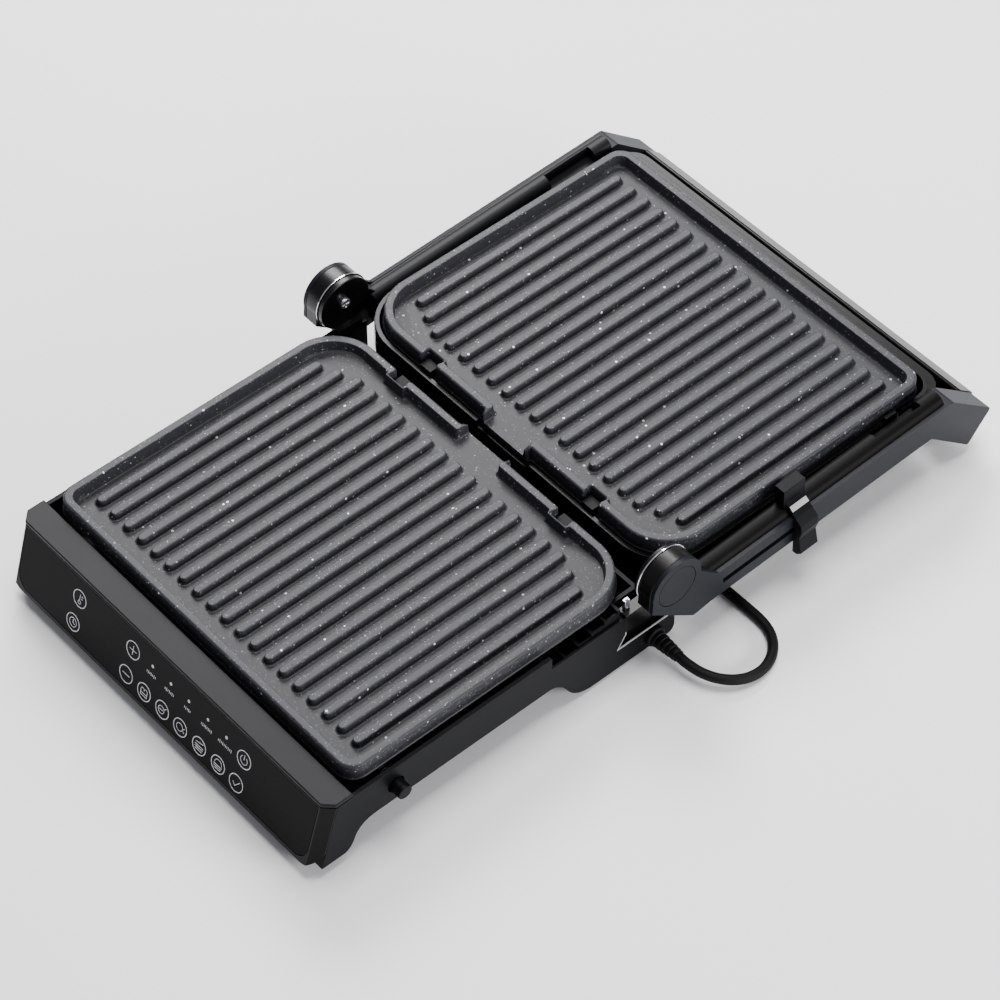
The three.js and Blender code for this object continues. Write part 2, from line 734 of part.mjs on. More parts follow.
// Bar between the hooks: it is the handle, and the lid's foot when the press lies open.
function handleBar() {
  const section = new THREE.Shape();
  section.moveTo(266, -45);
  section.quadraticCurveTo(266.5, -41.5, 269.5, -44);
  section.lineTo(279, -52.6);
  section.quadraticCurveTo(281.5, -55, 279.5, -57.5);
  section.lineTo(265, -74);
  section.quadraticCurveTo(261.5, -77.5, 258.5, -74.5);
  section.lineTo(250.5, -66.5);
  section.quadraticCurveTo(248.5, -64.4, 250.5, -62.4);
  const reach = ARM_IN - GAP;
  return piece('handle_bar', alongX(section, -reach, reach, 3), 'glossBlack');
}

function handleFoot(name, side) {
  return piece(name, box(side * 126, side * 144, 258, 268, 0, 6.2), 'rubber');
}

// Height lock: a saddle on the right arm with a leg above it and a finger tab outside it.
function heightSlider() {
  const top = 2.5;
  const leg = box(152.5, 161, 97, 115.5, ARM_CREST + GAP + 0.2, top);
  const saddle = alongY(outline([
    [158, -8],
    [162, -10.5],
    [170, -16.6],
    [GRIP_OUT - 1, -21],
    [GRIP_OUT, -26],
    [GRIP_OUT - 2.4, -34],
    [GRIP_OUT, -46],
    [172, -50],
    [168.4, -50],
    [168.4, -17.9],
    [162.2, -14.1],
    [158, -12.9],
  ]), 99, 114);
  const key = box(165.6, 169, 101, 112, -30.7, -27.3);
  return piece('height_slider', join(leg, saddle, key), 'satinBlack');
}

function sliderMark() {
  const strip = outline([[163.5, -11.2], [166.6, -13.6], [166.9, -13.2], [163.8, -10.8]]);
  return piece('slider_mark', alongY(strip, 99.5, 113.5), 'white');
}

// ---------------------------------------------------------------- upper housing

function upperPlan(inset, far = UPPER_FAR_Y) {
  return roundedRectangle(
    UPPER_HALF - inset,
    UPPER_NEAR_Y + inset,
    far - inset,
    38 - inset,
    16 - inset,
  );
}

function upperShell() {
  const skirtBottom = UPPER_BOTTOM + UPPER_BEVEL;
  const skirt = alongZ(upperPlan(0, NOSE_FAR_Y), skirtBottom, NOSE_TOP);
  const collar = alongZ(upperPlan(0), NOSE_TOP - 2, WALL_TOP);
  const belly = new THREE.ExtrudeGeometry(upperPlan(UPPER_BEVEL, NOSE_FAR_Y), {
    depth: 4,
    curveSegments: 5,
    bevelEnabled: true,
    bevelThickness: UPPER_BEVEL,
    bevelSize: UPPER_BEVEL,
    bevelSegments: 2,
  });
  belly.translate(0, 0, skirtBottom);
  const crown = box(-200, 200, -50, 300, skirtBottom + 3, 120);
  const hollow = alongZ(upperPlan(WALL), skirtBottom - 3, 80);
  const lowHollow = alongZ(upperPlan(UPPER_BEVEL + 2), UPPER_BOTTOM + WALL, 60);
  const spoutGap = box(-24, 24, 0, UPPER_NEAR_Y + WALL + 1, RIM_Z - PLATE_H - 1, 70);
  const outside = cut(join(belly), crown).add(toSolid(skirt)).add(toSolid(collar));
  let shell = cut(outside, hollow, lowHollow, spoutGap);
  for (const side of [-1, 1]) {
    shell = cut(shell, rodX(TILT_Y, TILT_Z, 3.3, side * 143, side * 152, SMALL_SIDES));
  }
  return piece('upper_shell', cut(shell, tabSlot()), 'glossBlack');
}

// Room in the shell and its frame for the release tab and its travel.
function tabSlot() {
  return box(145.8, UPPER_HALF + 1, TAB_Y0 - 1, TAB_Y1 + TAB_TRAVEL + 1, 46, 64);
}

// Thin trim ring between the shell and the upper plate.
function upperFrame() {
  const band = join(alongZ(upperPlan(0.4), WALL_TOP + GAP, WALL_TOP + 2.4));
  const spoutGap = box(-24, 24, 0, UPPER_NEAR_Y + 6, 50, 70);
  return piece('upper_frame', cut(band, alongZ(upperPlan(3.8), 50, 80), spoutGap, tabSlot()), 'glossBlack');
}

// Sliding tab that frees the upper plate.
function releaseTab() {
  const thumb = box(146.4, 149.5, TAB_Y0, TAB_Y1, 47, 63.4);
  const pusher = box(137.5, 147, TAB_Y0, TAB_Y0 + 2.5, 47, 54);
  return piece('release_tab_upper', join(thumb, pusher), 'satinBlack');
}

// Steel hook that holds a plate's hinge side through its clip pocket.
function plateClip(name, x) {
  const pad = box(x - 8, x + 8, 6.8, 8.6, CORE_TOP + GAP, CORE_TOP + 1.8);
  const strip = box(x - 5, x + 5, 7.3, 8.6, CORE_TOP + GAP, 64);
  const tongue = box(x - 5, x + 5, 7.3, 15.4, 62.7, 64);
  return piece(name, join(pad, strip, tongue), 'steel');
}

// ---------------------------------------------------------------- assembly

function baseGroup() {
  const group = new THREE.Group();
  group.add(baseShell(), bottomCover(), frontBezel(), controlPanel(), topTrim());
  group.add(heightRack(), controlBoard(), powerBoard(), terminalBlock(), dripTray());
  for (const [word, side] of [['left', -1], ['right', 1]]) {
    group.add(foot(`foot_front_${word}`, side * 122, -261, 14, FRONT_LEG_Z));
    group.add(foot(`foot_rear_${word}`, side * 122, -24, 40, FOOT_H));
  }
  const hinge = new THREE.Group();
  hinge.position.z = HINGE_Z;
  for (const [word, side] of [['left', -1], ['right', 1]]) {
    hinge.add(hingeKnuckle(`hinge_knuckle_${word}`, side), hingeRing(`hinge_ring_${word}`, side));
    hinge.add(hingePin(`hinge_pin_${word}`, side), hingeScrew(`hinge_screw_${word}`, side));
  }
  group.add(hinge, plateStack('lower', new THREE.Vector3(0, -PLATE_MID_Y, RIM_Z), 0));
  const button = releaseButton();
  button.position.set(BASE_HALF - WALL - 0.8, BUTTON_Y, BUTTON_Z);
  const spring = pressSpring('release_spring_lower');
  spring.position.set(144.2, BUTTON_Y, BUTTON_Z);
  const clips = new THREE.Group();
  clips.rotation.z = Math.PI;
  clips.add(plateClip('plate_clip_lower_left', CLIP_X), plateClip('plate_clip_lower_right', -CLIP_X));
  group.add(button, spring, clips);
  return group;
}

// A plate with its element, reflector and thermostat under it.
function plateStack(word, place, turn) {
  const group = new THREE.Group();
  group.position.copy(place);
  group.rotation.z = turn;
  const element = heater(`${word}_heater`);
  element.position.z = -PLATE_H - 3.7;
  const pan = reflector(`${word}_reflector`);
  pan.position.z = -PLATE_H - 4.2 - 5;
  const sensor = thermostat(`${word}_thermostat`);
  sensor.position.set(0, 0, -PLATE_H - 1);
  group.add(cookingPlate(`${word}_plate`), element, pan, sensor);
  return group;
}

function leadGroup() {
  const group = new THREE.Group();
  const coil = cordCoil();
  coil.position.set(COIL_X, COIL_Y, 0);
  const tie = cordTie();
  tie.rotation.z = Math.PI / 2;
  tie.position.set(COIL_X, COIL_Y + COIL_MEAN_R, 0);
  const end = plug();
  end.position.set(58.5, PLUG_Y, PLUG_Z);
  group.add(cordGland(), leadTube('cord', CORD_ROUTE, 60), coil, tie);
  group.add(leadTube('cord_tail', TAIL_ROUTE, 6), end);
  return group;
}

function armGroup() {
  const group = new THREE.Group();
  group.position.z = HINGE_Z;
  group.rotation.x = ARM_RISE;
  for (const [word, side] of [['left', -1], ['right', 1]]) {
    group.add(arm(`arm_${word}`, side), armInlay(`arm_inlay_${word}`, side));
    group.add(hingeBush(`hinge_bush_${word}`, side));
    const pin = pivotPin(`pivot_pin_${word}`, side);
    pin.position.set(0, TILT_U, TILT_V);
    group.add(pin);
  }
  group.add(handleBar(), heightSlider(), sliderMark());
  return group;
}

function upperGroup() {
  const group = new THREE.Group();
  group.add(upperShell(), upperFrame());
  group.add(plateStack('upper', new THREE.Vector3(0, PLATE_MID_Y, RIM_Z), Math.PI));
  const spring = pressSpring('release_spring_upper');
  spring.rotation.z = -Math.PI / 2;
  spring.position.set(141.5, TAB_Y0 + 4, 50.5);
  group.add(releaseTab(), spring);
  group.add(plateClip('plate_clip_upper_left', -CLIP_X), plateClip('plate_clip_upper_right', CLIP_X));
  return group;
}

const press = new THREE.Group();
press.position.set(-ORIGIN_X, -ORIGIN_Y, 0);
press.add(baseGroup(), leadGroup(), armGroup(), upperGroup());
press.add(handleFoot('handle_foot_left', -1), handleFoot('handle_foot_right', 1));

export default press;
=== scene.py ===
"""Looks of the panini press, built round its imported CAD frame.

Shapes are drawn in millimetres from the middle of the hinge axis, with z from the table, and go to
metres in the row frame in place(). The arms are drawn in their own frame: u runs along the arm from
the hinge axis and v is up.
"""

import json
import math

import bmesh
import bpy
from mathutils import Matrix, Vector


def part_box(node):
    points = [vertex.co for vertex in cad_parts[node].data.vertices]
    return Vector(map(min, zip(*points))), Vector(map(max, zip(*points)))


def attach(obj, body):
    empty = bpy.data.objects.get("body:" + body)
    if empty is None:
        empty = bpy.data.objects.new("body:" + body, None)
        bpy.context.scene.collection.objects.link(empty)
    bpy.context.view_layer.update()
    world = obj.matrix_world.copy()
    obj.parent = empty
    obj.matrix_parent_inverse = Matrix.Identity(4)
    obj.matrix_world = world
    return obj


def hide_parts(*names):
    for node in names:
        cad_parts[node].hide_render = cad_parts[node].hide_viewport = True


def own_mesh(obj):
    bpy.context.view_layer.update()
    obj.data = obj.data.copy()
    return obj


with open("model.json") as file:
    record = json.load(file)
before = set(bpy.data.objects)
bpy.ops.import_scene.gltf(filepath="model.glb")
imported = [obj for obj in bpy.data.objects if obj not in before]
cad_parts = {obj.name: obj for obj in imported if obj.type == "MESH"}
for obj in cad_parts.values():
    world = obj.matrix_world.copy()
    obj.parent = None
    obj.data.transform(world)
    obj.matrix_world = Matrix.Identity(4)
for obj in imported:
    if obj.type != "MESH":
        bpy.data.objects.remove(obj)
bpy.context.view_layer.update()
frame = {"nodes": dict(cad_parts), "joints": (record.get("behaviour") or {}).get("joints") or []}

MM = 0.001


def joint_place(name):
    return Vector(next(j for j in frame["joints"] if j["name"] == name)["pos_m"])


def middle(node, axis):
    low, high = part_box(node)
    return (low[axis] + high[axis]) / 2


HINGE = joint_place("arm_hinge")
CENTRE_X = middle("lower_plate", 0)


def place(x, y, z):
    return Vector((CENTRE_X + x * MM, HINGE.y + y * MM, z * MM))


def millimetres(point):
    """The other way: a point of the row frame in millimetres from the hinge axis."""
    return Vector(((point.x - CENTRE_X) / MM, (point.y - HINGE.y) / MM, point.z / MM))


def node_box(node):
    low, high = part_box(node)
    return millimetres(low), millimetres(high)


# ---------------------------------------------------------------- driving dimensions, millimetres

PLATE_LOW, PLATE_HIGH = node_box("lower_plate")
RIM_Z = PLATE_HIGH.z
PLATE_HALF_W = PLATE_HIGH.x
PLATE_HALF_D = 231.7 / 2
PLATE_MID_Y = -PLATE_LOW.y - PLATE_HALF_D
PLATE_H = PLATE_HIGH.z - PLATE_LOW.z
PAN_Z = -8.5
RIB_H = 4.6
HINGE_Z = HINGE.z / MM
DRUM_R = 20
ARM_RISE = 0.04
ARM_IN = 150.5
ARM_OUT = 168
CAP_IN = 165.2
BASE_HALF = node_box("base_shell")[1].x
PANEL_TOP_Y = -263
PANEL_TOP_Z = 58
PANEL_BOTTOM_Z = 10.5
PANEL_SLOPE = 0.29
CHAMFER = 6.6


# ---------------------------------------------------------------- camera and light

def make_camera():
    """A long lens from the front right corner, high up, with the whole press in frame."""
    data = bpy.data.cameras.new("camera")
    data.lens = 130.3
    data.sensor_width = 36
    data.clip_start = 0.05
    data.clip_end = 30
    camera = bpy.data.objects.new("camera", data)
    bpy.context.scene.collection.objects.link(camera)
    eye = place(1153.9, -1007.1, RIM_Z + 1703.5)
    target = place(42.6, -33.9, RIM_Z)
    camera.location = eye
    camera.rotation_euler = (target - eye).to_track_quat("-Z", "Y").to_euler()
    bpy.context.scene.camera = camera


def soft_box(name, where, aim, width, height, watts):
    data = bpy.data.lights.new(name, "AREA")
    data.shape = "RECTANGLE"
    data.size = width
    data.size_y = height
    data.energy = watts
    light = bpy.data.objects.new(name, data)
    bpy.context.scene.collection.objects.link(light)
    light.location = where
    light.rotation_euler = (Vector(aim) - Vector(where)).to_track_quat("-Z", "Y").to_euler()


def make_light():
    soft_box("key_light", (-1.5, 1.0, 1.7), (0, 0.05, 0), 1.3, 1.0, 105)
    soft_box("top_light", (0.0, 0.3, 2.3), (0, 0, 0), 1.3, 1.3, 62)
    soft_box("side_light", (2.2, 0.75, 0.85), (0, 0, 0.05), 1.4, 0.5, 62)
    world = bpy.data.worlds.new("studio")
    world.use_nodes = True
    background = world.node_tree.nodes["Background"]
    background.inputs["Color"].default_value = (0.93, 0.95, 1.0, 1)
    background.inputs["Strength"].default_value = 0.34
    bpy.context.scene.world = world


# ---------------------------------------------------------------- materials

class Finish:
    """A node material in the making: each method adds nodes and returns a socket."""

    def __init__(self, name, roughness=0.5, metallic=0.0, specular=0.5):
        self.material = bpy.data.materials.new(name)
        self.material.use_nodes = True
        self.nodes = self.material.node_tree.nodes
        self.shader = self.nodes["Principled BSDF"]
        self.shader.inputs["Roughness"].default_value = roughness
        self.shader.inputs["Metallic"].default_value = metallic
        self.shader.inputs["Specular IOR Level"].default_value = specular
        self.place = self.add("ShaderNodeTexCoord").outputs["Object"]

    def add(self, kind, **settings):
        node = self.nodes.new(kind)
        for key, value in settings.items():
            setattr(node, key, value)
        return node

    def link(self, source, target):
        self.material.node_tree.links.new(source, target)

    def noise(self, scale, detail=3, roughness=0.5, stretch=None):
        node = self.add("ShaderNodeTexNoise")
        node.inputs["Scale"].default_value = scale
        node.inputs["Detail"].default_value = detail
        node.inputs["Roughness"].default_value = roughness
        source = self.place
        if stretch:
            mapping = self.add("ShaderNodeMapping")
            mapping.inputs["Scale"].default_value = stretch
            self.link(source, mapping.inputs["Vector"])
            source = mapping.outputs["Vector"]
        self.link(source, node.inputs["Vector"])
        return node.outputs["Fac"]

    def cells(self, scale):
        """Voronoi cells: the distance to each cell's point, and the cell's own random colour."""
        node = self.add("ShaderNodeTexVoronoi")
        node.inputs["Scale"].default_value = scale
        self.link(self.place, node.inputs["Vector"])
        return node.outputs["Distance"], node.outputs["Color"]

    def math(self, operation, first, second):
        node = self.add("ShaderNodeMath", operation=operation)
        self.feed(node.inputs[0], first)
        self.feed(node.inputs[1], second)
        return node.outputs[0]

    def feed(self, socket, value):
        if hasattr(value, "is_linked"):
            self.link(value, socket)
        else:
            socket.default_value = value

    def ramp(self, factor, stops):
        node = self.add("ShaderNodeValToRGB")
        while len(node.color_ramp.elements) < len(stops):
            node.color_ramp.elements.new(0.5)
        for element, (position, colour) in zip(node.color_ramp.elements, stops):
            element.position = position
            element.color = (*colour, 1)
        self.link(factor, node.inputs["Fac"])
        return node.outputs["Color"]

    def mix(self, factor, first, second):
        node = self.add("ShaderNodeMix", data_type="RGBA")
        self.feed(node.inputs["Factor"], factor)
        for socket, value in ((node.inputs[6], first), (node.inputs[7], second)):
            self.feed(socket, value if hasattr(value, "is_linked") else (*value, 1))
        return node.outputs[2]

    def channel(self, colour, name):
        node = self.add("ShaderNodeSeparateColor")
        self.link(colour, node.inputs["Color"])
        return node.outputs[name]

    def height(self, low, high):
        """0 below one height above the table and 1 above another, with the press lying open."""
        node = self.add("ShaderNodeSeparateXYZ")
        self.link(self.place, node.inputs[0])
        span = self.add("ShaderNodeMapRange")
        span.inputs["From Min"].default_value = low
        span.inputs["From Max"].default_value = high
        self.link(node.outputs["Z"], span.inputs["Value"])
        return span.outputs["Result"]

    def tinted(self, colour, amount):
        node = self.add("ShaderNodeVectorMath", operation="SCALE")
        self.link(colour, node.inputs[0])
        node.inputs["Scale"].default_value = amount
        return node.outputs[0]

    def colour(self, socket):
        self.link(socket, self.shader.inputs["Base Color"])

    def rough(self, factor, low, high):
        node = self.add("ShaderNodeMapRange")
        node.inputs["To Min"].default_value = low
        node.inputs["To Max"].default_value = high
        self.link(factor, node.inputs["Value"])
        self.link(node.outputs["Result"], self.shader.inputs["Roughness"])

    def bump(self, height, strength, distance=0.0002):
        node = self.add("ShaderNodeBump")
        node.inputs["Strength"].default_value = strength
        node.inputs["Distance"].default_value = distance
        self.link(height, node.inputs["Height"])
        self.link(node.outputs["Normal"], self.shader.inputs["Normal"])


def flecks(finish, scale, size, share, channel):
    """1 inside a share of the cells' centres, 0 elsewhere."""
    distance, colour = finish.cells(scale)
    inside = finish.math("LESS_THAN", distance, size)
    chosen = finish.math("LESS_THAN", finish.channel(colour, channel), share)
    return finish.math("MULTIPLY", inside, chosen)


def stone_coating():
    """Speckled non-stick coating, with painted light: lighter on the ribs and the rim, darker on the pan's
    floor.
    """
    finish = Finish("stone_coating", roughness=0.46, specular=0.22)
    floor_z = RIM_Z + PAN_Z
    # painted light: this mask is 1 on the ribs' tops and the rim, where the light falls, and 0 on the pan's
    # floor
    raised = finish.height((floor_z + 1.3) * MM, (floor_z + RIB_H - 0.5) * MM)
    cloud = finish.noise(60, 4, 0.6)
    grain = finish.noise(1500, 2, 0.7)
    base = finish.ramp(grain, [(0.3, (0.0117, 0.012, 0.0145)), (0.7, (0.0283, 0.029, 0.0338))])
    patch = finish.ramp(cloud, [(0.3, (0.0166, 0.017, 0.0199)), (0.7, (0.0235, 0.024, 0.0285))])
    colour = finish.mix(0.4, base, patch)
    fine = flecks(finish, 900, 0.40, 0.12, "Red")
    colour = finish.mix(finish.math("MULTIPLY", fine, 0.5), colour, (0.16, 0.16, 0.17))
    small = flecks(finish, 520, 0.28, 0.045, "Green")
    colour = finish.mix(finish.math("MULTIPLY", small, 0.8), colour, (0.30, 0.30, 0.32))
    large = flecks(finish, 280, 0.22, 0.024, "Red")
    colour = finish.mix(large, colour, (0.60, 0.60, 0.62))
    dark = flecks(finish, 340, 0.26, 0.030, "Green")
    colour = finish.mix(dark, colour, (0.004, 0.004, 0.005))
    # painted light and shade: the pan's floor is darkened and the ribs and the rim are lightened
    finish.colour(finish.mix(raised, finish.tinted(colour, 0.72), finish.tinted(colour, 1.28)))
    finish.rough(grain, 0.38, 0.56)
    finish.bump(grain, 0.22, 0.00012)
    return finish.material


def moulded(name, dark, light, roughness, specular, grain_scale=1400, bump=0.10):
    """Moulded or lacquered plastic: a faint tone drift and its own surface texture."""
    finish = Finish(name, roughness=roughness, specular=specular)
    drift = finish.noise(25, 3, 0.55)
    finish.colour(finish.ramp(drift, [(0.3, dark), (0.7, light)]))
    grain = finish.noise(grain_scale, 2, 0.6)
    finish.rough(grain, roughness * 0.88, min(1, roughness * 1.12))
    finish.bump(grain, bump, 0.00008)
    return finish.material


def metal(name, dark, light, roughness, stretch=None, scale=400, bump=0.05):
    finish = Finish(name, roughness=roughness, metallic=1.0)
    lines = finish.noise(scale, 3, 0.6, stretch)
    finish.colour(finish.ramp(lines, [(0.3, dark), (0.7, light)]))
    finish.rough(lines, roughness * 0.8, roughness * 1.25)
    finish.bump(lines, bump, 0.00005)
    return finish.material


def circuit_green():
    finish = Finish("circuit_board", roughness=0.4)
    distance, colour = finish.cells(300)
    tracks = finish.math("LESS_THAN", distance, 0.35)
    finish.colour(finish.mix(tracks, (0.012, 0.07, 0.035), (0.05, 0.16, 0.07)))
    finish.bump(finish.channel(colour, "Red"), 0.2)
    return finish.material


M = {
    "stone_coating": stone_coating(),
    "gloss_black_plastic": moulded(
        "gloss_black_plastic", (0.0006,) * 3, (0.0009,) * 3, 0.24, 0.10, 350, 0.03),
    "drum_black": moulded("drum_black", (0.0006,) * 3, (0.0009,) * 3, 0.32, 0.26, 500, 0.03),
    "bar_black": moulded("bar_black", (0.0012,) * 3, (0.0016,) * 3, 0.5, 0.07, 900, 0.05),
    "satin_black_plastic": moulded(
        "satin_black_plastic", (0.0016, 0.0019, 0.0026), (0.0021, 0.0024, 0.0032), 0.46, 0.08),
    "touch_panel": moulded(
        "touch_panel", (0.0011, 0.0011, 0.0014), (0.0014, 0.0014, 0.0017), 0.16, 0.035, 900, 0.01),
    # the top trim's own satin grey; on the left arm bar the same grey is a painted highlight
    "grey_trim": moulded(
        "grey_trim", (0.0048, 0.0051, 0.0060), (0.0064, 0.0068, 0.0078), 0.42, 0.11, 1800, 0.12),
    "slate_plastic": moulded(
        "slate_plastic", (0.0055, 0.0066, 0.0092), (0.0066, 0.0078, 0.0106), 0.46, 0.11, 1800, 0.12),
    "chrome_ring": metal("chrome_ring", (0.72, 0.73, 0.75), (0.84, 0.85, 0.87), 0.12),
    "bright_steel": metal("bright_steel", (0.42, 0.43, 0.45), (0.62, 0.63, 0.65), 0.32, (1, 14, 14)),
    "black_rubber": moulded("black_rubber", (0.002,) * 3, (0.003,) * 3, 0.6, 0.14, 1100, 0.25),
    "circuit_board": circuit_green(),
    "white_nylon": moulded("white_nylon", (0.62, 0.60, 0.55), (0.72, 0.70, 0.64), 0.5, 0.4),
    # the slider's own printed white mark; along the right wall's ledge the same white is a painted highlight
    "white_mark": moulded("white_mark", (0.30,) * 3, (0.36,) * 3, 0.45, 0.3),
    "printed_white": moulded("printed_white", (0.50, 0.51, 0.53), (0.58, 0.59, 0.61), 0.5, 0.3),
}


# ---------------------------------------------------------------- mesh tools

def in_scene(name, mesh):
    obj = bpy.data.objects.new(name, mesh)
    bpy.context.scene.collection.objects.link(obj)
    return obj


def draft(points, faces, name="draft"):
    """A mesh object still in millimetres, for carving."""
    mesh = bpy.data.meshes.new(name)
    mesh.from_pydata([tuple(p) for p in points], [], faces)
    mesh.validate()
    mesh.update()
    return in_scene(name, mesh)


def prism(outline, axis, low, high):
    """A flat outline swept along an axis. It is given in (y, z) for x, (x, z) for y and (x, y) for z."""
    low, high = min(low, high), max(low, high)
    if axis == "x":
        points = [(low, a, b) for a, b in outline] + [(high, a, b) for a, b in outline]
    elif axis == "y":
        points = [(a, high, b) for a, b in outline] + [(a, low, b) for a, b in outline]
    else:
        points = [(a, b, low) for a, b in outline] + [(a, b, high) for a, b in outline]
    count = len(outline)
    ahead = list(range(count))
    faces = [ahead[::-1], [count + i for i in ahead]]
    for i in ahead:
        j = (i + 1) % count
        faces.append([i, j, count + j, count + i])
    obj = draft(points, faces)
    outward(obj.data)
    return obj


def outward(mesh):
    work = bmesh.new()
    work.from_mesh(mesh)
    bmesh.ops.recalc_face_normals(work, faces=work.faces)
    work.to_mesh(mesh)
    work.free()


def block(x0, x1, y0, y1, z0, z1):
    return prism([(x0, y0), (x1, y0), (x1, y1), (x0, y1)], "z", z0, z1)


def turned(profile, y, z, sides=96):
    """A closed half profile of (x, radius) turned about a line along X."""
    points = []
    for i in range(sides):
        angle = 2 * math.pi * i / sides
        points += [(x, y + r * math.cos(angle), z + r * math.sin(angle)) for x, r in profile]
    count = len(profile)
    faces = []
    for i in range(sides):
        j = (i + 1) % sides
        for k in range(count):
            m = (k + 1) % count
            faces.append([i * count + k, i * count + m, j * count + m, j * count + k])
    obj = draft(points, faces)
    work = bmesh.new()
    work.from_mesh(obj.data)
    bmesh.ops.remove_doubles(work, verts=work.verts, dist=1e-4)
    bmesh.ops.recalc_face_normals(work, faces=work.faces)
    work.to_mesh(obj.data)
    work.free()
    return obj


def rod(x0, x1, radius, y, z, sides=64):
    outline = [(y + radius * math.cos(2 * math.pi * i / sides),
                z + radius * math.sin(2 * math.pi * i / sides)) for i in range(sides)]
    return prism(outline, "x", x0, x1)


def combine(target, others, operation):
    """Cuts or joins drafts with one exact boolean each, and uses them up."""
    for other in others:
        modifier = target.modifiers.new("boolean", "BOOLEAN")
        modifier.operation = operation
        modifier.solver = "EXACT"
        modifier.object = other
    graph = bpy.context.evaluated_depsgraph_get()
    mesh = bpy.data.meshes.new_from_object(target.evaluated_get(graph))
    target.modifiers.clear()
    target.data = mesh
    for other in others:
        bpy.data.objects.remove(other)
    return target


def carve(target, *tools):
    return combine(target, tools, "DIFFERENCE")


def fuse(target, *others):
    return combine(target, others, "UNION")


def keep_inside(target, *others):
    return combine(target, others, "INTERSECT")


def arc(cx, cy, radius, start, end, count):
    return [(cx + radius * math.cos(start + (end - start) * i / count),
             cy + radius * math.sin(start + (end - start) * i / count)) for i in range(count + 1)]


def rounded(corners):
    """A path through its corners: (x, y, radius, steps) is rounded off, and any shorter one stays sharp."""
    path = []
    last = len(corners) - 1
    for index, corner in enumerate(corners):
        if len(corner) < 4 or index in (0, last):
            path.append(tuple(corner[:2]))
            continue
        x, y, radius, steps = corner
        here = Vector((x, y))
        back = (Vector(corners[index - 1][:2]) - here).normalized()
        ahead = (Vector(corners[index + 1][:2]) - here).normalized()
        path += corner_arc(here, back, ahead, radius, steps)
    return path


def corner_arc(here, back, ahead, radius, steps):
    """The corner's steps + 1 points, given the directions back and ahead along the path."""
    half = back.angle(ahead) / 2
    centre = here + (back + ahead).normalized() * (radius / math.sin(half))
    start = here + back * (radius / math.tan(half)) - centre
    sweep = math.pi - 2 * half
    if back.x * ahead.y - back.y * ahead.x > 0:
        sweep = -sweep
    turns = [Matrix.Rotation(sweep * i / steps, 2) for i in range(steps + 1)]
    return [tuple(centre + turn @ start) for turn in turns]


def closed_rounded(corners):
    """The same for a closed outline."""
    return rounded([corners[-1], *corners, corners[0]])[1:-1]


def settle(obj, name, material, body, bevel=0.5, segments=3, angle=30, replaces=(), turn=None):
    """Brings a draft to its place in the row frame, rounds its edges and hands it to its body."""
    obj.name = name
    obj.data.name = name
    if turn is not None:
        obj.data.transform(turn)
    work = bmesh.new()
    work.from_mesh(obj.data)
    bmesh.ops.remove_doubles(work, verts=work.verts, dist=0.004)
    bmesh.ops.dissolve_limit(
        work, angle_limit=math.radians(0.6), verts=work.verts, edges=work.edges, delimit={"NORMAL"})
    for vertex in work.verts:
        vertex.co = place(*vertex.co)
    for face in work.faces:
        face.smooth = True
    work.to_mesh(obj.data)
    work.free()
    if bevel:
        add_bevel(obj, bevel, segments, angle)
    else:
        obj.data.set_sharp_from_angle(angle=math.radians(angle))
    dress(obj, material)
    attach(obj, body)
    if replaces:
        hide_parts(*replaces)
    return obj


def add_bevel(obj, width, segments=3, angle=30):
    bevel = obj.modifiers.new("rounded_edges", "BEVEL")
    bevel.width = width * MM
    bevel.segments = segments
    bevel.limit_method = "ANGLE"
    bevel.angle_limit = math.radians(angle)
    bevel.use_clamp_overlap = True
    bevel.miter_outer = "MITER_ARC"
    weigh = obj.modifiers.new("face_normals", "WEIGHTED_NORMAL")
    weigh.keep_sharp = True


def dress(obj, material):
    obj.data.materials.clear()
    obj.data.materials.append(M[material])


def arm_turn():
    """From the arm's frame, with u as y and v as z, to the hinge's frame."""
    return Matrix.Translation((0, 0, HINGE_Z)) @ Matrix.Rotation(ARM_RISE, 4, "X")


# ---------------------------------------------------------------- mains lead

CORD_ROUTE = [
    (175, -2, 12), (178, -2, 12), (181, -2, 11.9), (191.9, -0.1, 10.9), (201.6, 5.5, 9.2),
    (208.7, 14, 7.2), (212.5, 24.4, 5.3), (212.5, 35.6, 4), (208.7, 46, 3.6), (201.6, 54.5, 3.6),
    (191.9, 60.1, 3.6), (181, 62, 3.6), (167, 62, 3.6), (151, 62, 3.6), (135, 62, 3.6),
    (120, 62, 3.6), (108, 62, 3.6),
]
TAIL_ROUTE = [
    (58.5, 118, 9.9), (58.5, 127, 9.9),
    (58.5, 136, 10), (58.5, 142, 9.2), (58.5, 148, 8.5), (58.5, 154, 8.1), (58.5, 160, 8),
]
CORD_D = 7.0
COIL_MIDDLE = (97, 104)
COIL_OUTER_R = 42
COIL_INNER_R = 35
COIL_TOP_R = 38.5
COIL_TOP_Z = 9.8
CORD_LOW_Z = 3.6


def ease(value, start, end):
    share = min(1, max(0, (value - start) / (end - start)))
    return share * share * (3 - 2 * share)


def coil_points():
    """Clockwise from the south point: an outer turn, an inner turn, then up into the groove on top."""
    points = []
    step = 15
    for turned_by in range(0, 811, step):
        inward = ease(turned_by, 275, 360)
        climb = ease(turned_by, 585, 660)
        radius = COIL_OUTER_R + (COIL_INNER_R - COIL_OUTER_R) * inward
        radius += (COIL_TOP_R - COIL_INNER_R) * climb
        height = CORD_LOW_Z + (COIL_TOP_Z - CORD_LOW_Z) * climb
        angle = math.radians(-90 - turned_by)
        points.append((COIL_MIDDLE[0] + radius * math.cos(angle),
                       COIL_MIDDLE[1] + radius * math.sin(angle), height))
    return points


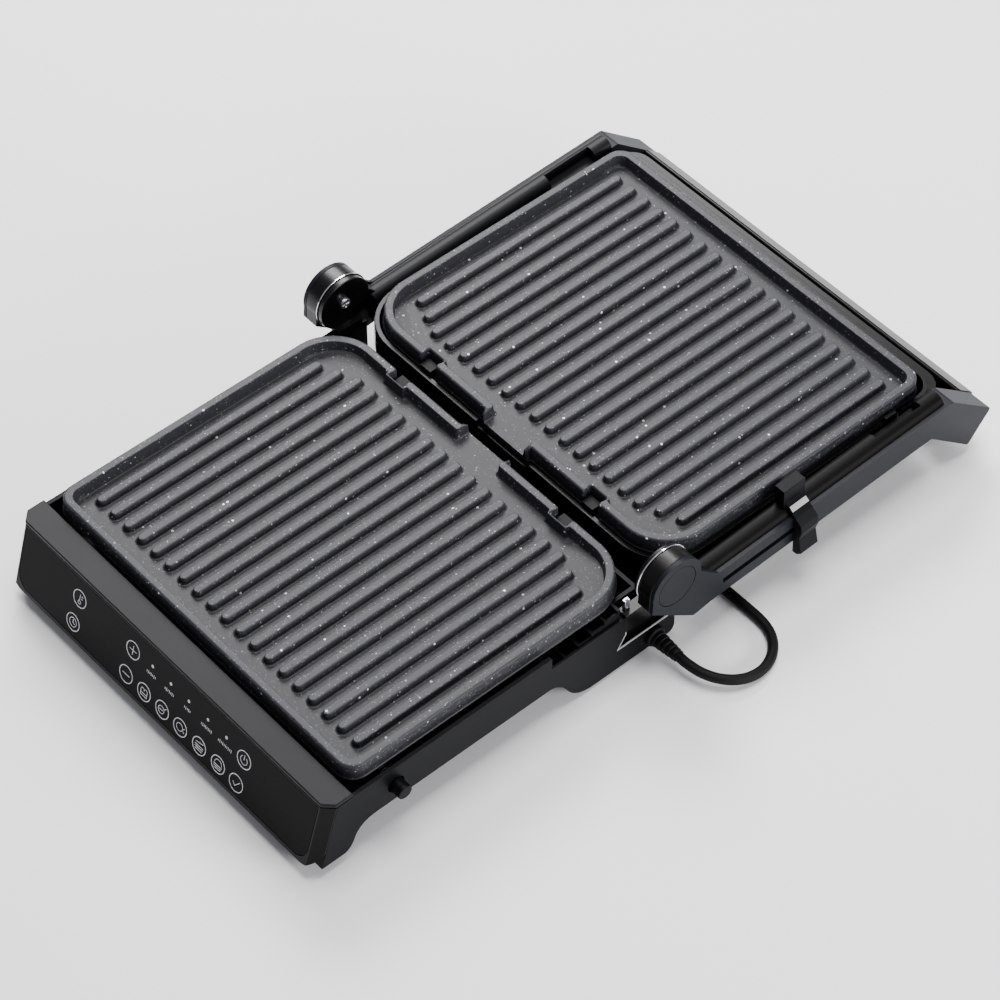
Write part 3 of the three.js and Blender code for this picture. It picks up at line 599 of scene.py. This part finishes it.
def mains_lead():
    route = CORD_ROUTE + coil_points() + TAIL_ROUTE
    curve = bpy.data.curves.new("mains_lead", "CURVE")
    curve.dimensions = "3D"
    curve.bevel_depth = CORD_D / 2 * MM
    curve.bevel_resolution = 5
    curve.resolution_u = 6
    curve.use_fill_caps = True
    spline = curve.splines.new("NURBS")
    spline.points.add(len(route) - 1)
    for point, where in zip(spline.points, route):
        point.co = (*place(*where), 1)
    spline.order_u = 3
    spline.use_endpoint_u = True
    lead = bpy.data.objects.new("mains_lead", curve)
    bpy.context.scene.collection.objects.link(lead)
    curve.materials.append(M["black_rubber"])
    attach(lead, "base")
    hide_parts("cord", "cord_coil", "cord_tail")
    return lead


def strain_relief():
    """A moulded sleeve that tapers from its collar, with grooves that let it bend."""
    exit_x, exit_y, exit_z = CORD_ROUTE[0]
    wall = BASE_HALF
    profile = [(wall - 5, 0), (wall - 5, 5.2), (wall + 0.1, 5.2), (wall + 0.3, 7.0), (wall + 0.7, 7.4),
               (wall + 2.6, 7.4), (wall + 3.0, 6.9)]
    start, end = wall + 3.4, exit_x - 0.6
    grooves = 5
    span = (end - start) / grooves
    for i in range(grooves):
        x = start + i * span
        radius = 5.9 - 1.5 * i / (grooves - 1)
        profile += [(x, radius), (x + span * 0.62, radius - 0.1), (x + span * 0.7, radius - 0.8),
                    (x + span * 0.92, radius - 0.8)]
    profile += [(end, 4.3), (end + 0.3, 3.9), (end + 0.3, 0)]
    relief = turned(profile, exit_y, exit_z, 40)
    return settle(relief, "strain_relief", "black_rubber", "base", bevel=0.25, segments=2, angle=40,
                  replaces=["cord_gland"])


# ---------------------------------------------------------------- cooking plates

RIM_W = 6.9
WALL_RUN = 2.6
CLIP_X = 78
POCKET_HALF = 6.6
POCKET_DEEP = 7.6
POCKET_WALL = 2.3
SPOUT_HALF = 19.5
LIP_REACH = 2.9
RIB_COUNT = 19
RIB_PITCH = 13.9
RIB_END_R = 3.3
RIB_TURNS = 8
CREASE_X = 91
CREASE_SIDE_Y = 87.5
FACET_LIFT = 0.17


def half_loops():
    """Right half of the plate's edge: outer rim edge, inner rim edge and foot of the inner wall."""
    w, d = PLATE_HALF_W, PLATE_HALF_D
    a, b = CLIP_X - POCKET_HALF, CLIP_X + POCKET_HALF
    deep = d - POCKET_DEEP
    outer = [
        (SPOUT_HALF + 2.6, d + 2.6, 0), (SPOUT_HALF + 2.6, d, 1.2, 4), (a, d, 1.5, 5), (a, deep, 1.8, 5),
        (b, deep, 1.8, 5), (b, d, 1.5, 5), (CREASE_X, d, 0), (w, d, 35, 26), (w, -d, 13, 14), (0, -d, 0),
    ]
    t = POCKET_WALL
    r = RIM_W
    inner = [
        (SPOUT_HALF, d + 2.6, 0), (SPOUT_HALF, d - r, 2.2, 4), (a - t, d - r, 1.4, 5),
        (a - t, deep - t, 1.4, 5), (b + t, deep - t, 1.4, 5), (b + t, d - r, 1.4, 5),
        (CREASE_X, d - r, 0), (w - r, d - r, 29, 26), (w - r, -d + r, 7.5, 14), (0, -d + r, 0),
    ]
    r = RIM_W + WALL_RUN
    t = POCKET_WALL + WALL_RUN * 0.7
    foot = [
        (SPOUT_HALF - 1.5, d + 2.6, 0), (SPOUT_HALF - 1.5, d - r, 3, 4), (a - t, d - r, 1.0, 5),
        (a - t, deep - t, 1.0, 5), (b + t, deep - t, 1.0, 5), (b + t, d - r, 1.0, 5),
        (CREASE_X, d - r, 0), (w - r, d - r, 25, 26), (w - r, -d + r, 5, 14), (0, -d + r, 0),
    ]
    return [rounded(line) for line in (outer, inner, foot)]


def whole_loop(half):
    """The half path and its mirror image, from one end of the spout round to the other."""
    return half + [(-x, y) for x, y in reversed(half[:-1])]


def rim_section():
    """Cross section of the rim from its foot outside to the pan: (which edge, how far in from it, height).

    Down the inner wall the middle value is a share of the way to the wall's foot.
    """
    steps = [("outer", inset, height) for inset, height in (
        (0.4, -PLATE_H + 0.1), (0, -PLATE_H + 0.35), (0, -PLATE_H + 0.9), (0.45, -PLATE_H + 1.3),
        (0.7, -PLATE_H + 1.9))]
    top_inset, round_outer = 1.1, 1.7
    for i in range(7):
        angle = math.pi / 2 * i / 6
        steps.append(("outer", top_inset + round_outer * (1 - math.cos(angle)),
                      -round_outer * (1 - math.sin(angle))))
    round_inner = 0.6
    for i in range(4):
        angle = math.pi / 2 * i / 3
        steps.append(("inner", -round_inner * (1 - math.sin(angle)),
                      -round_inner * (1 - math.cos(angle))))
    for share, height in ((0.10, -2.4), (0.20, -4.6), (0.30, -6.3), (0.46, -7.5), (0.70, -8.2),
                          (1.0, PAN_Z)):
        steps.append(("wall", share, height))
    return steps


def facet_height(x, y):
    """Height of the sloping corner facets over the pan's floor."""
    start = Vector((CREASE_X, PLATE_HALF_D - RIM_W - WALL_RUN))
    end = Vector((PLATE_HALF_W - 10.5, CREASE_SIDE_Y))
    along = (end - start).normalized()
    across = Vector((-along.y, along.x))
    beyond = (Vector((abs(x), y)) - start).dot(across)
    return PAN_Z + max(0, beyond) * FACET_LIFT


def rim_rings():
    outer, inner, foot = [whole_loop(half) for half in half_loops()]
    rings = []
    edge = PLATE_HALF_D
    for kind, amount, height in rim_section():
        ring = []
        for o, i, f in zip(outer, inner, foot):
            o, i, f = Vector(o), Vector(i), Vector(f)
            if kind == "wall":
                p = i.lerp(f, amount)
            else:
                origin = o if kind == "outer" else i
                p = origin + (i - o).normalized() * amount
            drop = 2.2 * ease(p.y, edge - 0.5, edge + 1.2)
            z = height - drop * (1 if height > -6 else 0)
            if kind == "wall":
                z = max(z, facet_height(p.x, p.y))
            ring.append((p.x, p.y, z))
        rings.append(ring)
    return rings


def plate_mesh(work):
    """Rim, pan floor, spout lip and underside as one closed surface."""
    rings = rim_rings()
    grid = [[work.verts.new(p) for p in ring] for ring in rings]
    count = len(grid[0])
    for low, high in zip(grid, grid[1:]):
        for i in range(count - 1):
            work.faces.new([low[i], low[i + 1], high[i + 1], high[i]])
    for end in (0, count - 1):
        cap = [ring[end] for ring in grid]
        work.faces.new(cap if end == 0 else cap[::-1])
    foot = grid[-1]
    lip_y = PLATE_HALF_D + LIP_REACH
    lip_half = SPOUT_HALF - 1.5
    lip_top = [work.verts.new((x, lip_y, PAN_Z - 0.5)) for x in (lip_half, -lip_half)]
    lip_low = [work.verts.new((x, lip_y, -PLATE_H + 0.8)) for x in (lip_half, -lip_half)]
    first, last = crease_indexes(foot)
    floor = foot[:first[0] + 1] + foot[first[1]:last[0] + 1] + foot[last[1]:]
    work.faces.new([foot[0], lip_top[0], lip_top[1], foot[-1]])
    work.faces.new(floor[::-1])
    work.faces.new(foot[first[0]:first[1] + 1][::-1])
    work.faces.new(foot[last[0]:last[1] + 1][::-1])
    work.faces.new([lip_top[0], lip_low[0], lip_low[1], lip_top[1]])
    bottom = grid[0]
    work.faces.new([*bottom, lip_low[1], lip_low[0]])
    work.faces.new([lip_low[0], lip_top[0], foot[0], bottom[0]])
    work.faces.new([lip_top[1], lip_low[1], bottom[-1], foot[-1]])


def crease_indexes(foot):
    """Where the two corner facets begin and end along the foot of the wall."""
    side = [i for i, vertex in enumerate(foot) if vertex.co.z > PAN_Z + 1e-3]
    right = [i for i in side if foot[i].co.x > 0]
    left = [i for i in side if foot[i].co.x < 0]
    return (right[0] - 1, right[-1] + 1), (left[0] - 1, left[-1] + 1)


# distance from the rib's centre line and height over the pan, from the filleted foot to the flat top
RIB_SECTION = [(5.0, 0.0), (4.3, 0.12), (3.85, 0.45), (3.55, 1.05), (2.95, 3.75), (2.75, 4.2), (2.4, 4.5),
               (2.0, RIB_H)]


def rib_ends(x):
    """Ends of the rib at x: the outermost ones stop short of the corner facets."""
    inner = PLATE_HALF_D - 7
    beyond = max(0, abs(x) - 97.5)
    return 12.4 - inner, inner - 14.2 - beyond * 0.4


def rib_contour(x, first, last, spread, height):
    """Closed contour round the rib's centre line, which runs from first to last."""
    contour = []
    for centre, begin in ((last, 0), (first, math.pi)):
        for i in range(RIB_TURNS + 1):
            angle = begin + math.pi * i / RIB_TURNS
            contour.append((x + spread * math.cos(angle), centre + spread * math.sin(angle), PAN_Z + height))
    return contour


def rib_mesh(work, x):
    start, end = rib_ends(x)
    previous = None
    for spread, height in RIB_SECTION:
        contour = rib_contour(x, start + RIB_END_R, end - RIB_END_R, spread, height)
        ring = [work.verts.new(point) for point in contour]
        if previous:
            for i in range(len(ring)):
                j = (i + 1) % len(ring)
                work.faces.new([previous[i], previous[j], ring[j], ring[i]])
        previous = ring
    work.faces.new(previous)


def cooking_plate(name, body, node, turn, mid_y):
    work = bmesh.new()
    plate_mesh(work)
    for index in range(RIB_COUNT):
        rib_mesh(work, (index - (RIB_COUNT - 1) / 2) * RIB_PITCH)
    bmesh.ops.recalc_face_normals(work, faces=work.faces)
    mesh = bpy.data.meshes.new(name)
    where = Matrix.Translation((0, mid_y, RIM_Z)) @ Matrix.Rotation(turn, 4, "Z")
    bmesh.ops.transform(work, matrix=where, verts=work.verts)
    for vertex in work.verts:
        vertex.co = place(*vertex.co)
    for face in work.faces:
        face.smooth = True
    work.to_mesh(mesh)
    work.free()
    obj = in_scene(name, mesh)
    mesh.set_sharp_from_angle(angle=math.radians(32))
    weigh = obj.modifiers.new("face_normals", "WEIGHTED_NORMAL")
    weigh.keep_sharp = True
    dress(obj, "stone_coating")
    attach(obj, body)
    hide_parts(node)


# ---------------------------------------------------------------- front block and its touch panel

def lean(obj):
    """Slides a draft forward as it goes down, so that its front follows the sloped face."""
    for vertex in obj.data.vertices:
        vertex.co.y += PANEL_SLOPE * (vertex.co.z - PANEL_TOP_Z)
    return obj


BLOCK_BACK_Y = -255.6
SKIN = 3.7
PANEL_CORNER_R = 11
BLOCK_CORNER_R = 13


def front_plan(inset, back):
    half, front = BASE_HALF - inset, PANEL_TOP_Y + inset
    return [(-half, back), (-half, front + CHAMFER), (-half + CHAMFER, front), (half - CHAMFER, front),
            (half, front + CHAMFER), (half, back)]


def panel_outline(margin):
    half = BASE_HALF - CHAMFER - 1.5 + margin
    low, high = PANEL_BOTTOM_Z + 3 - margin, PANEL_TOP_Z - 1.2 + margin
    return closed_rounded([(-half, low, PANEL_CORNER_R, 12), (half, low, PANEL_CORNER_R, 12),
                           (half, high, 1, 3), (-half, high, 1, 3)])


def front_block():
    """The hollow front block, cut to its rounded lower corners, with the touch panel let into its slope."""
    half, low = BASE_HALF, PANEL_BOTTOM_Z
    skin = lean(prism(front_plan(0, BLOCK_BACK_Y), "z", -20, PANEL_TOP_Z))
    skin = carve(skin, lean(prism(front_plan(SKIN, -150), "z", -30, 80)))
    face = closed_rounded([(-half, low, BLOCK_CORNER_R, 16), (half, low, BLOCK_CORNER_R, 16),
                           (half, 90, 1, 2), (-half, 90, 1, 2)])
    skin = keep_inside(skin, prism(face, "y", -400, -200))
    skin = carve(skin, lean(prism(panel_outline(0.3), "y", PANEL_TOP_Y - 5, PANEL_TOP_Y + 1.3)))
    settle(skin, "bezel", "gloss_black_plastic", "base", bevel=0.6, angle=28, replaces=["front_bezel"])
    panel = lean(prism(panel_outline(0), "y", PANEL_TOP_Y, PANEL_TOP_Y + 1))
    settle(panel, "touch_panel", "touch_panel", "base", bevel=0.15, segments=2, angle=28,
           replaces=["control_panel"])
    panel_marks()


SLOPE_LENGTH = math.hypot(1, PANEL_SLOPE)
MARK_RAISE = 0.12
LINE_W = 0.62


def on_panel(x, s, raised):
    """A point of the panel's face, s millimetres down its slope from the top edge."""
    down = s / SLOPE_LENGTH
    y = PANEL_TOP_Y - PANEL_SLOPE * down - raised / SLOPE_LENGTH
    z = PANEL_TOP_Z - down + raised * PANEL_SLOPE / SLOPE_LENGTH
    return x, y, z


def add_slab(work, outline):
    """A flat printed shape: its outline in (x, s), a little proud of the panel."""
    low = [work.verts.new(on_panel(x, s, -MARK_RAISE)) for x, s in outline]
    high = [work.verts.new(on_panel(x, s, MARK_RAISE)) for x, s in outline]
    work.faces.new(low)
    work.faces.new(high[::-1])
    for i in range(len(low)):
        j = (i + 1) % len(low)
        work.faces.new([low[i], high[i], high[j], low[j]])


def add_line(work, points, width=LINE_W):
    for (xa, sa), (xb, sb) in zip(points, points[1:]):
        ahead = Vector((xb - xa, sb - sa)).normalized() * width / 2
        side = Vector((-ahead.y, ahead.x))
        a, b = Vector((xa, sa)) - ahead * 0.6, Vector((xb, sb)) + ahead * 0.6
        add_slab(work, [tuple(a + side), tuple(b + side), tuple(b - side), tuple(a - side)])


def add_ring(work, x, s, radius, width=LINE_W, steps=40):
    inner, outer = radius - width / 2, radius + width / 2
    circles = []
    for r, raised in ((inner, -MARK_RAISE), (inner, MARK_RAISE), (outer, MARK_RAISE), (outer, -MARK_RAISE)):
        circles.append([work.verts.new(on_panel(x + r * math.cos(a), s + r * math.sin(a), raised))
                        for a in (2 * math.pi * i / steps for i in range(steps))])
    for k in range(4):
        one, two = circles[k], circles[(k + 1) % 4]
        for i in range(steps):
            j = (i + 1) % steps
            work.faces.new([one[i], one[j], two[j], two[i]])


def moved(points, x, s):
    return [(x + a, s + b) for a, b in points]


KEY_R = 6.2
# the middle of each touch key on the panel, and the strokes of its pictogram from there
KEYS = {
    (-85, 15.3): [[(0, -3.4), (0, 1.4)], arc(0, 2.6, 1.3, 0, 2 * math.pi, 12), [(1.4, -2.6), (2.6, -2.6)],
                  [(1.4, -0.8), (2.6, -0.8)]],
    (-87.3, 36.2): [arc(0, 0, 3.4, 0, 2 * math.pi, 20), [(0, -2.2), (0, 0), (1.7, 0.9)]],
    (-31, 15.2): [[(-3.3, 0), (3.3, 0)], [(0, -3.3), (0, 3.3)]],
    (-33, 36.5): [[(-3.3, 0), (3.3, 0)]],
    (-14.8, 36.9): [arc(-1.5, -1, 1.6, 0.9 * math.pi, 2 * math.pi, 8),
                    arc(1.5, -1, 1.6, math.pi, 2.1 * math.pi, 8),
                    [(-3, -0.4), (-3, 3), (3, 3), (3, -0.4)], [(-3, 1.2), (3, 1.2)]],
    (3.3, 36.9): [arc(-0.8, 0.4, 2.8, 0, 2 * math.pi, 16), [(1.6, -1.2), (3.6, -3)],
                  [(-2.4, 0.4), (0.6, 0.4)]],
    (21.2, 37.0): [arc(-0.6, 0, 2.9, 0, 2 * math.pi, 18), [(2.2, 0.2), (4, -1.6)], [(2.2, 0.2), (4, 2)]],
    (39.8, 37.1): [[(-3.4, -2), (3.4, -3.2)], [(-3.8, 0), (3.8, 0)], [(-3.6, 1.6), (3.6, 1.6)],
                   [(-3.2, 3.2), (3.2, 3.2)]],
    (58.2, 37.2): [arc(0, -0.4, 3.3, math.pi, 2 * math.pi, 12), [(-3.8, 0.8), (3.8, 0.8)],
                   [(-3.4, 2.2), (3.4, 2.2)], [(-2.8, 3.5), (2.8, 3.5)]],
    (75.8, 37.8): [[(-2.8, 0.2), (-0.7, 2.5), (3.1, -2.4)]],
    (78.0, 16.9): [arc(0, 0.3, 3.1, -0.3 * math.pi, 1.3 * math.pi, 18), [(0, -3.6), (0, 0)]],
}
LAMPS_X = (-11.8, 6.2, 23.8, 42.4, 60.3)
LAMPS_S = 13.2
LAMP_R = 1.15
LABELS_S = 19.7
LABEL_STROKES = (7, 7, 5, 8, 10)
STROKE_STEP = 1.35


def panel_marks():
    """Rings and pictograms of the touch keys, five lamps and a row of short strokes under each lamp."""
    work = bmesh.new()
    for (x, s), lines in KEYS.items():
        add_ring(work, x, s, KEY_R)
        for line in lines:
            add_line(work, moved(line, x, s), 0.5)
    for x, strokes in zip(LAMPS_X, LABEL_STROKES):
        add_slab(work, arc(x, LAMPS_S, LAMP_R, 0, 2 * math.pi * 15 / 16, 15))
        for i in range(strokes):
            at = x + (i - (strokes - 1) / 2) * STROKE_STEP
            tall = 1.1 if i % 2 else 0.7
            add_line(work, [(at, LABELS_S - tall), (at, LABELS_S + tall)], 0.45)
    bmesh.ops.recalc_face_normals(work, faces=work.faces)
    mesh = bpy.data.meshes.new("panel_marks")
    work.to_mesh(mesh)
    work.free()
    settle(in_scene("panel_marks", mesh), "panel_marks", "printed_white", "base", bevel=0)


# ---------------------------------------------------------------- hinges, arms and handle

ARM_TOP = -19
ARM_BOTTOM = -40
BAR_TOP = -13.6
HOOK_START = 223.5
INLAY_R = 15
INLAY_DROP = -1
SCREW_R = 4
KNUCKLE_OUT = 153
LEDGE_TOP_Z = 20.8
TILT = (123.9, -29.5)


def both_sides(side, obj):
    """Drawn on the right; the left one is its mirror image."""
    if side < 0:
        obj.data.transform(Matrix.Scale(-1, 4, (1, 0, 0)))
        obj.data.flip_normals()
    return obj


def eye_outline():
    return arc(0, 0, DRUM_R, -0.14, math.pi + 0.1, 48)


def hook_corners():
    """Round the hook, from the underside of the arm to its top."""
    return [(HOOK_START, -40.5, 3, 6), (260, -75.5, 2.2, 6), (279.5, -53.5, 2.2, 6), (241.8, ARM_TOP, 2.5, 6)]


def arm_outline():
    """Side of the arm in (u, v): hinge eye, neck, bar and hook."""
    eye = eye_outline()
    rest = rounded([
        eye[-1], (-21, -11.5, 1.2, 4), (14, -42, 3, 6), (30, -40.2, 8, 4), *hook_corners(),
        (34.7, -17.8, 2.5, 6), eye[0],
    ])
    return eye + rest[1:-1]


def hook_outline():
    return rounded([(HOOK_START - 1.5, -40.4), *hook_corners(), (234, ARM_TOP)])


def arm_eye(word, side):
    """Round end of the arm on the hinge, with the short neck behind the side plate."""
    eye = eye_outline()
    tail = rounded([eye[-1], (-21, -11.5, 1.2, 4), (14, -42, 3, 6), (60, ARM_BOTTOM), (60, -24),
                    (33, -18.4, 2.5, 6), eye[0]])
    core = prism(eye + tail[1:-1], "x", KNUCKLE_OUT + 1.6, CAP_IN)
    core = carve(core, rod(153, 161.3, 7.3, 0, 0), rod(160, 164.6, 4.3, 0, 0))
    settle(both_sides(side, core), f"arm_eye_{word}", "drum_black", "arms", bevel=0.6, angle=28,
           turn=arm_turn(), replaces=[f"arm_{word}"])


def arm_bar(word, side):
    """The round-topped bar behind the side plate, with a recess near the hook and the tilt pin's hole."""
    section = closed_rounded([(ARM_IN, ARM_BOTTOM, 1, 3), (CAP_IN, ARM_BOTTOM, 0.4, 3),
                              (CAP_IN, BAR_TOP, 7.5, 12), (ARM_IN, BAR_TOP, 6, 12)])
    bar = prism(section, "y", 25.5, 236)
    bar = carve(bar, block(149, 158.5, 181, 221, -22.5, 0), rod(149, 157, 3.3, *TILT))
    # painted highlight: the left bar gets the grey trim finish where its top catches the light, though it
    # mirrors the black right bar
    settle(both_sides(side, bar), f"arm_bar_{word}", "bar_black" if side > 0 else "grey_trim", "arms",
           bevel=0.6, angle=28, turn=arm_turn())


def arm_side(word, side):
    """Flat side plate with its full-width hook, and on the right the slot that the height lock slides in."""
    plate = prism(arm_outline(), "x", CAP_IN, ARM_OUT)
    plate = fuse(plate, prism(hook_outline(), "x", ARM_IN, CAP_IN + 1))
    plate = carve(plate, rod(ARM_OUT - 1.2, ARM_OUT + 1, INLAY_R + 0.35, 0, INLAY_DROP, 96))
    if side > 0:
        plate = carve(plate, block(CAP_IN - 1, ARM_OUT + 1, 39, 119, -31.2, -26.8))
    settle(both_sides(side, plate), f"arm_side_{word}", "slate_plastic", "arms", bevel=0.45, angle=28,
           turn=arm_turn())


def arm_disc(word, side):
    inlay = turned([(ARM_OUT - 0.9, 0), (ARM_OUT - 0.9, INLAY_R), (ARM_OUT - 0.25, INLAY_R),
                    (ARM_OUT, INLAY_R - 0.25), (ARM_OUT, 0)], 0, INLAY_DROP)
    settle(both_sides(side, inlay), f"arm_disc_{word}", "slate_plastic", "arms", bevel=0,
           turn=arm_turn(), replaces=[f"arm_inlay_{word}"])


def knuckle(word, side):
    """The base's half of the hinge: a dished drum, its foot and the step down to the ledge."""
    face = 149 if side < 0 else 150.6
    out = KNUCKLE_OUT
    profile = [(out - 1, 4.3), (out - 1, 5.5), (face + 0.2, 17.2), (face, 18), (face, DRUM_R - 0.6),
               (face + 0.5, DRUM_R), (out - 0.5, DRUM_R), (out - 0.1, DRUM_R - 0.3), (out, DRUM_R - 0.8),
               (out, 4.3)]
    drum = turned(profile, 0, HINGE_Z)
    drum = fuse(drum, block(145.02, 147.5, -14, 14, LEDGE_TOP_Z, 51.5),
                block(145.01, 152.6, -10, 10, 48.9, 56),
                block(145.02, 147.5, -26.2, -13, LEDGE_TOP_Z, 51.5),
                block(145.01, 152.9, -27.5, -9, 48.9, 51.6))
    settle(both_sides(side, drum), f"knuckle_{word}", "drum_black", "base", bevel=0.4, angle=32,
           replaces=[f"hinge_knuckle_{word}"])


def hinge_ring(word, side):
    """The thin bright ring between the knuckle and the arm."""
    near, far, radius = KNUCKLE_OUT + 0.3, KNUCKLE_OUT + 1.25, 20.8
    ring = turned([(near, 17), (near, radius - 0.25), (near + 0.2, radius), (far - 0.25, radius),
                   (far, radius - 0.25), (far, 17)], 0, HINGE_Z)
    settle(both_sides(side, ring), f"ring_{word}", "chrome_ring", "base", bevel=0,
           replaces=[f"hinge_ring_{word}"])


def hinge_screw(word, side):
    """The cross-slotted head in the middle of the knuckle's dish."""
    head = turned([(149.35, 0), (149.35, SCREW_R), (148.9, SCREW_R), (148.5, SCREW_R - 0.4), (148.5, 0)],
                  0, HINGE_Z, 48)
    head = carve(head, block(148, 149, -3, 3, HINGE_Z - 0.5, HINGE_Z + 0.5),
                 block(148, 149, -0.5, 0.5, HINGE_Z - 3, HINGE_Z + 3))
    settle(both_sides(side, head), f"screw_{word}", "bright_steel", "base", bevel=0.1, segments=2,
           replaces=[f"hinge_screw_{word}"])


def handle():
    half = ARM_IN - 0.3
    section = closed_rounded([(267.3, -41.5, 2.5, 8), (282, -55, 3, 8), (262, -78, 4, 8),
                              (247.8, -64.4, 2.5, 8)])
    bar = prism(section, "x", -half, half)
    settle(bar, "handle", "gloss_black_plastic", "arms", bevel=0.4, angle=28, turn=arm_turn(),
           replaces=["handle_bar"])


BUTTON_Y = -211
BUTTON_Z = 42
BUTTON_R = 5.2


def release_button():
    """Push button in the right wall: stem, flange and a cap with a turned groove."""
    face = BASE_HALF - 3.8
    profile = [(face - 9, 0), (face - 9, 2.2), (face - 2.9, 2.2), (face - 2.9, 7.6), (face + 0.4, 7.6),
               (face + 0.4, BUTTON_R), (face + 8.6, BUTTON_R), (face + 8.9, BUTTON_R - 0.25),
               (face + 9.2, BUTTON_R), (face + 11.7, BUTTON_R), (face + 12.3, BUTTON_R - 0.3),
               (face + 12.5, BUTTON_R - 0.9), (face + 12.5, 0)]
    settle(turned(profile, BUTTON_Y, BUTTON_Z, 64), "release_button_cap", "satin_black_plastic",
           "release_button", bevel=0.15, segments=2, angle=40, replaces=["release_button_lower"])


def press_spring(node, body, fixed_end, along):
    """A coil spring from its fixed end along the given direction, in a mesh of its own."""
    length, radius, wire = 11, 3.6, 0.5
    turns, steps, sides = 5, 160, 10
    along = Vector(along)
    side = along.cross((0, 0, 1))
    points, faces = [], []
    for i in range(steps + 1):
        angle = 2 * math.pi * turns * i / steps
        out = side * math.cos(angle) + Vector((0, 0, math.sin(angle)))
        centre = Vector(fixed_end) + along * (length * i / steps) + out * radius
        for k in range(sides):
            turn = 2 * math.pi * k / sides
            points.append(centre + (out * math.cos(turn) + along * math.sin(turn)) * wire)
    for i in range(steps):
        for k in range(sides):
            near, far = i * sides + k, i * sides + (k + 1) % sides
            faces.append((near, far, far + sides, near + sides))
    faces += [tuple(range(sides)), tuple(range(steps * sides, (steps + 1) * sides))]
    coil = draft(points, faces)
    outward(coil.data)
    spring = settle(coil, f"{node}_coil", "bright_steel", body, bevel=0, angle=60, replaces=[node])
    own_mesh(spring)


def rear_catch():
    """A small bright bracket beside the right knuckle."""
    catch = carve(block(146, 148.8, -25, -21, 51.6, 59.5), block(147.4, 150, -24, -22, 53, 60))
    settle(catch, "rear_catch", "bright_steel", "base", bevel=0.25, segments=2)


def painted_ledge_highlight():
    """A painted highlight: a thin white strip down the end of the right wall and along the ledge behind it,
    where the edge catches the light.
    """
    low = LEDGE_TOP_Z - 0.2
    outer = [(-26.4, 33.5), (-26.4, 31.9), (-33.4, low), (15.4, low)]
    inner = [(15.4, low + 1), (-31.6, low + 1), (-25.4, 31.6), (-25.4, 33.5)]
    settle(prism(outer + inner, "x", 150.4, 151.4), "painted_ledge_highlight", "white_mark", "base", bevel=0.2, segments=2)


# ---------------------------------------------------------------- CAD nodes that keep their shape

def pair(*stems):
    return [f"{stem}_{word}" for stem in stems for word in ("left", "right")]


# material, width of the rounded edges and the nodes that have both
KEPT = [
    ("satin_black_plastic", 0.6, ["base_shell", "height_slider"]),
    ("satin_black_plastic", 0.4, ["bottom_cover", "drip_tray", "release_tab_upper"]),
    ("satin_black_plastic", 0.3, ["height_rack", "cord_tie"]),
    ("satin_black_plastic", 0.2, pair("plate_clip_lower", "plate_clip_upper")),
    ("gloss_black_plastic", 1.2, ["upper_shell"]),
    ("gloss_black_plastic", 0.3, ["upper_frame"]),
    ("grey_trim", 0.7, ["top_trim"]),
    ("white_mark", 0, ["slider_mark"]),
    ("black_rubber", 0.6, pair("foot_front", "foot_rear", "handle_foot")),
    ("black_rubber", 1.2, ["plug"]),
    ("circuit_board", 0, ["control_board", "power_board"]),
    ("white_nylon", 0.3, ["terminal_block"]),
    ("white_nylon", 0.2, pair("hinge_bush")),
    ("bright_steel", 0.3, pair("hinge_pin", "pivot_pin")),
    ("bright_steel", 0.2, ["lower_thermostat", "upper_thermostat"]),
    ("bright_steel", 0, ["lower_heater", "upper_heater", "lower_reflector", "upper_reflector"]),
]


def finish_node(obj, material, width):
    """A CAD piece whose shape is right: welded, cleared of flat edges, rounded and given its finish."""
    dress(obj, material)
    weld = obj.modifiers.new("weld", "WELD")
    weld.merge_threshold = 0.00001
    if width:
        flatten = obj.modifiers.new("one_face_per_flat", "DECIMATE")
        flatten.decimate_type = "DISSOLVE"
        flatten.angle_limit = math.radians(1)
        add_bevel(obj, width, 2, 35)


def pale_floor():
    floor = block(-4000, 4000, -4000, 4000, -20, 0)
    floor.name = "floor"
    floor.data.transform(Matrix.Scale(MM, 4))
    pale = Finish("pale_floor", roughness=0.8, specular=0.2)
    pale.colour(pale.ramp(pale.noise(3, 2), [(0.3, (0.86, 0.86, 0.87)), (0.7, (0.88, 0.88, 0.89))]))
    floor.data.materials.append(pale.material)
    return floor


make_camera()
make_light()
lead = mains_lead()
relief = strain_relief()
cooking_plate("ribbed_plate_lower", "base", "lower_plate", 0, -PLATE_MID_Y)
cooking_plate("ribbed_plate_upper", "upper_housing", "upper_plate", math.pi, PLATE_MID_Y)
front_block()
for word, side in (("left", -1), ("right", 1)):
    for part in (arm_eye, arm_bar, arm_side, arm_disc, knuckle, hinge_ring, hinge_screw):
        part(word, side)
handle()
release_button()
press_spring("release_spring_lower", "base", (133.2, BUTTON_Y, BUTTON_Z),
             (1, 0, 0))
press_spring("release_spring_upper", "upper_housing", (141.5, 215, 50.5),
             (0, -1, 0))
rear_catch()
painted_ledge_highlight()
for material, width, nodes in KEPT:
    for node in nodes:
        finish_node(frame["nodes"][node], material, width)

pale_floor()
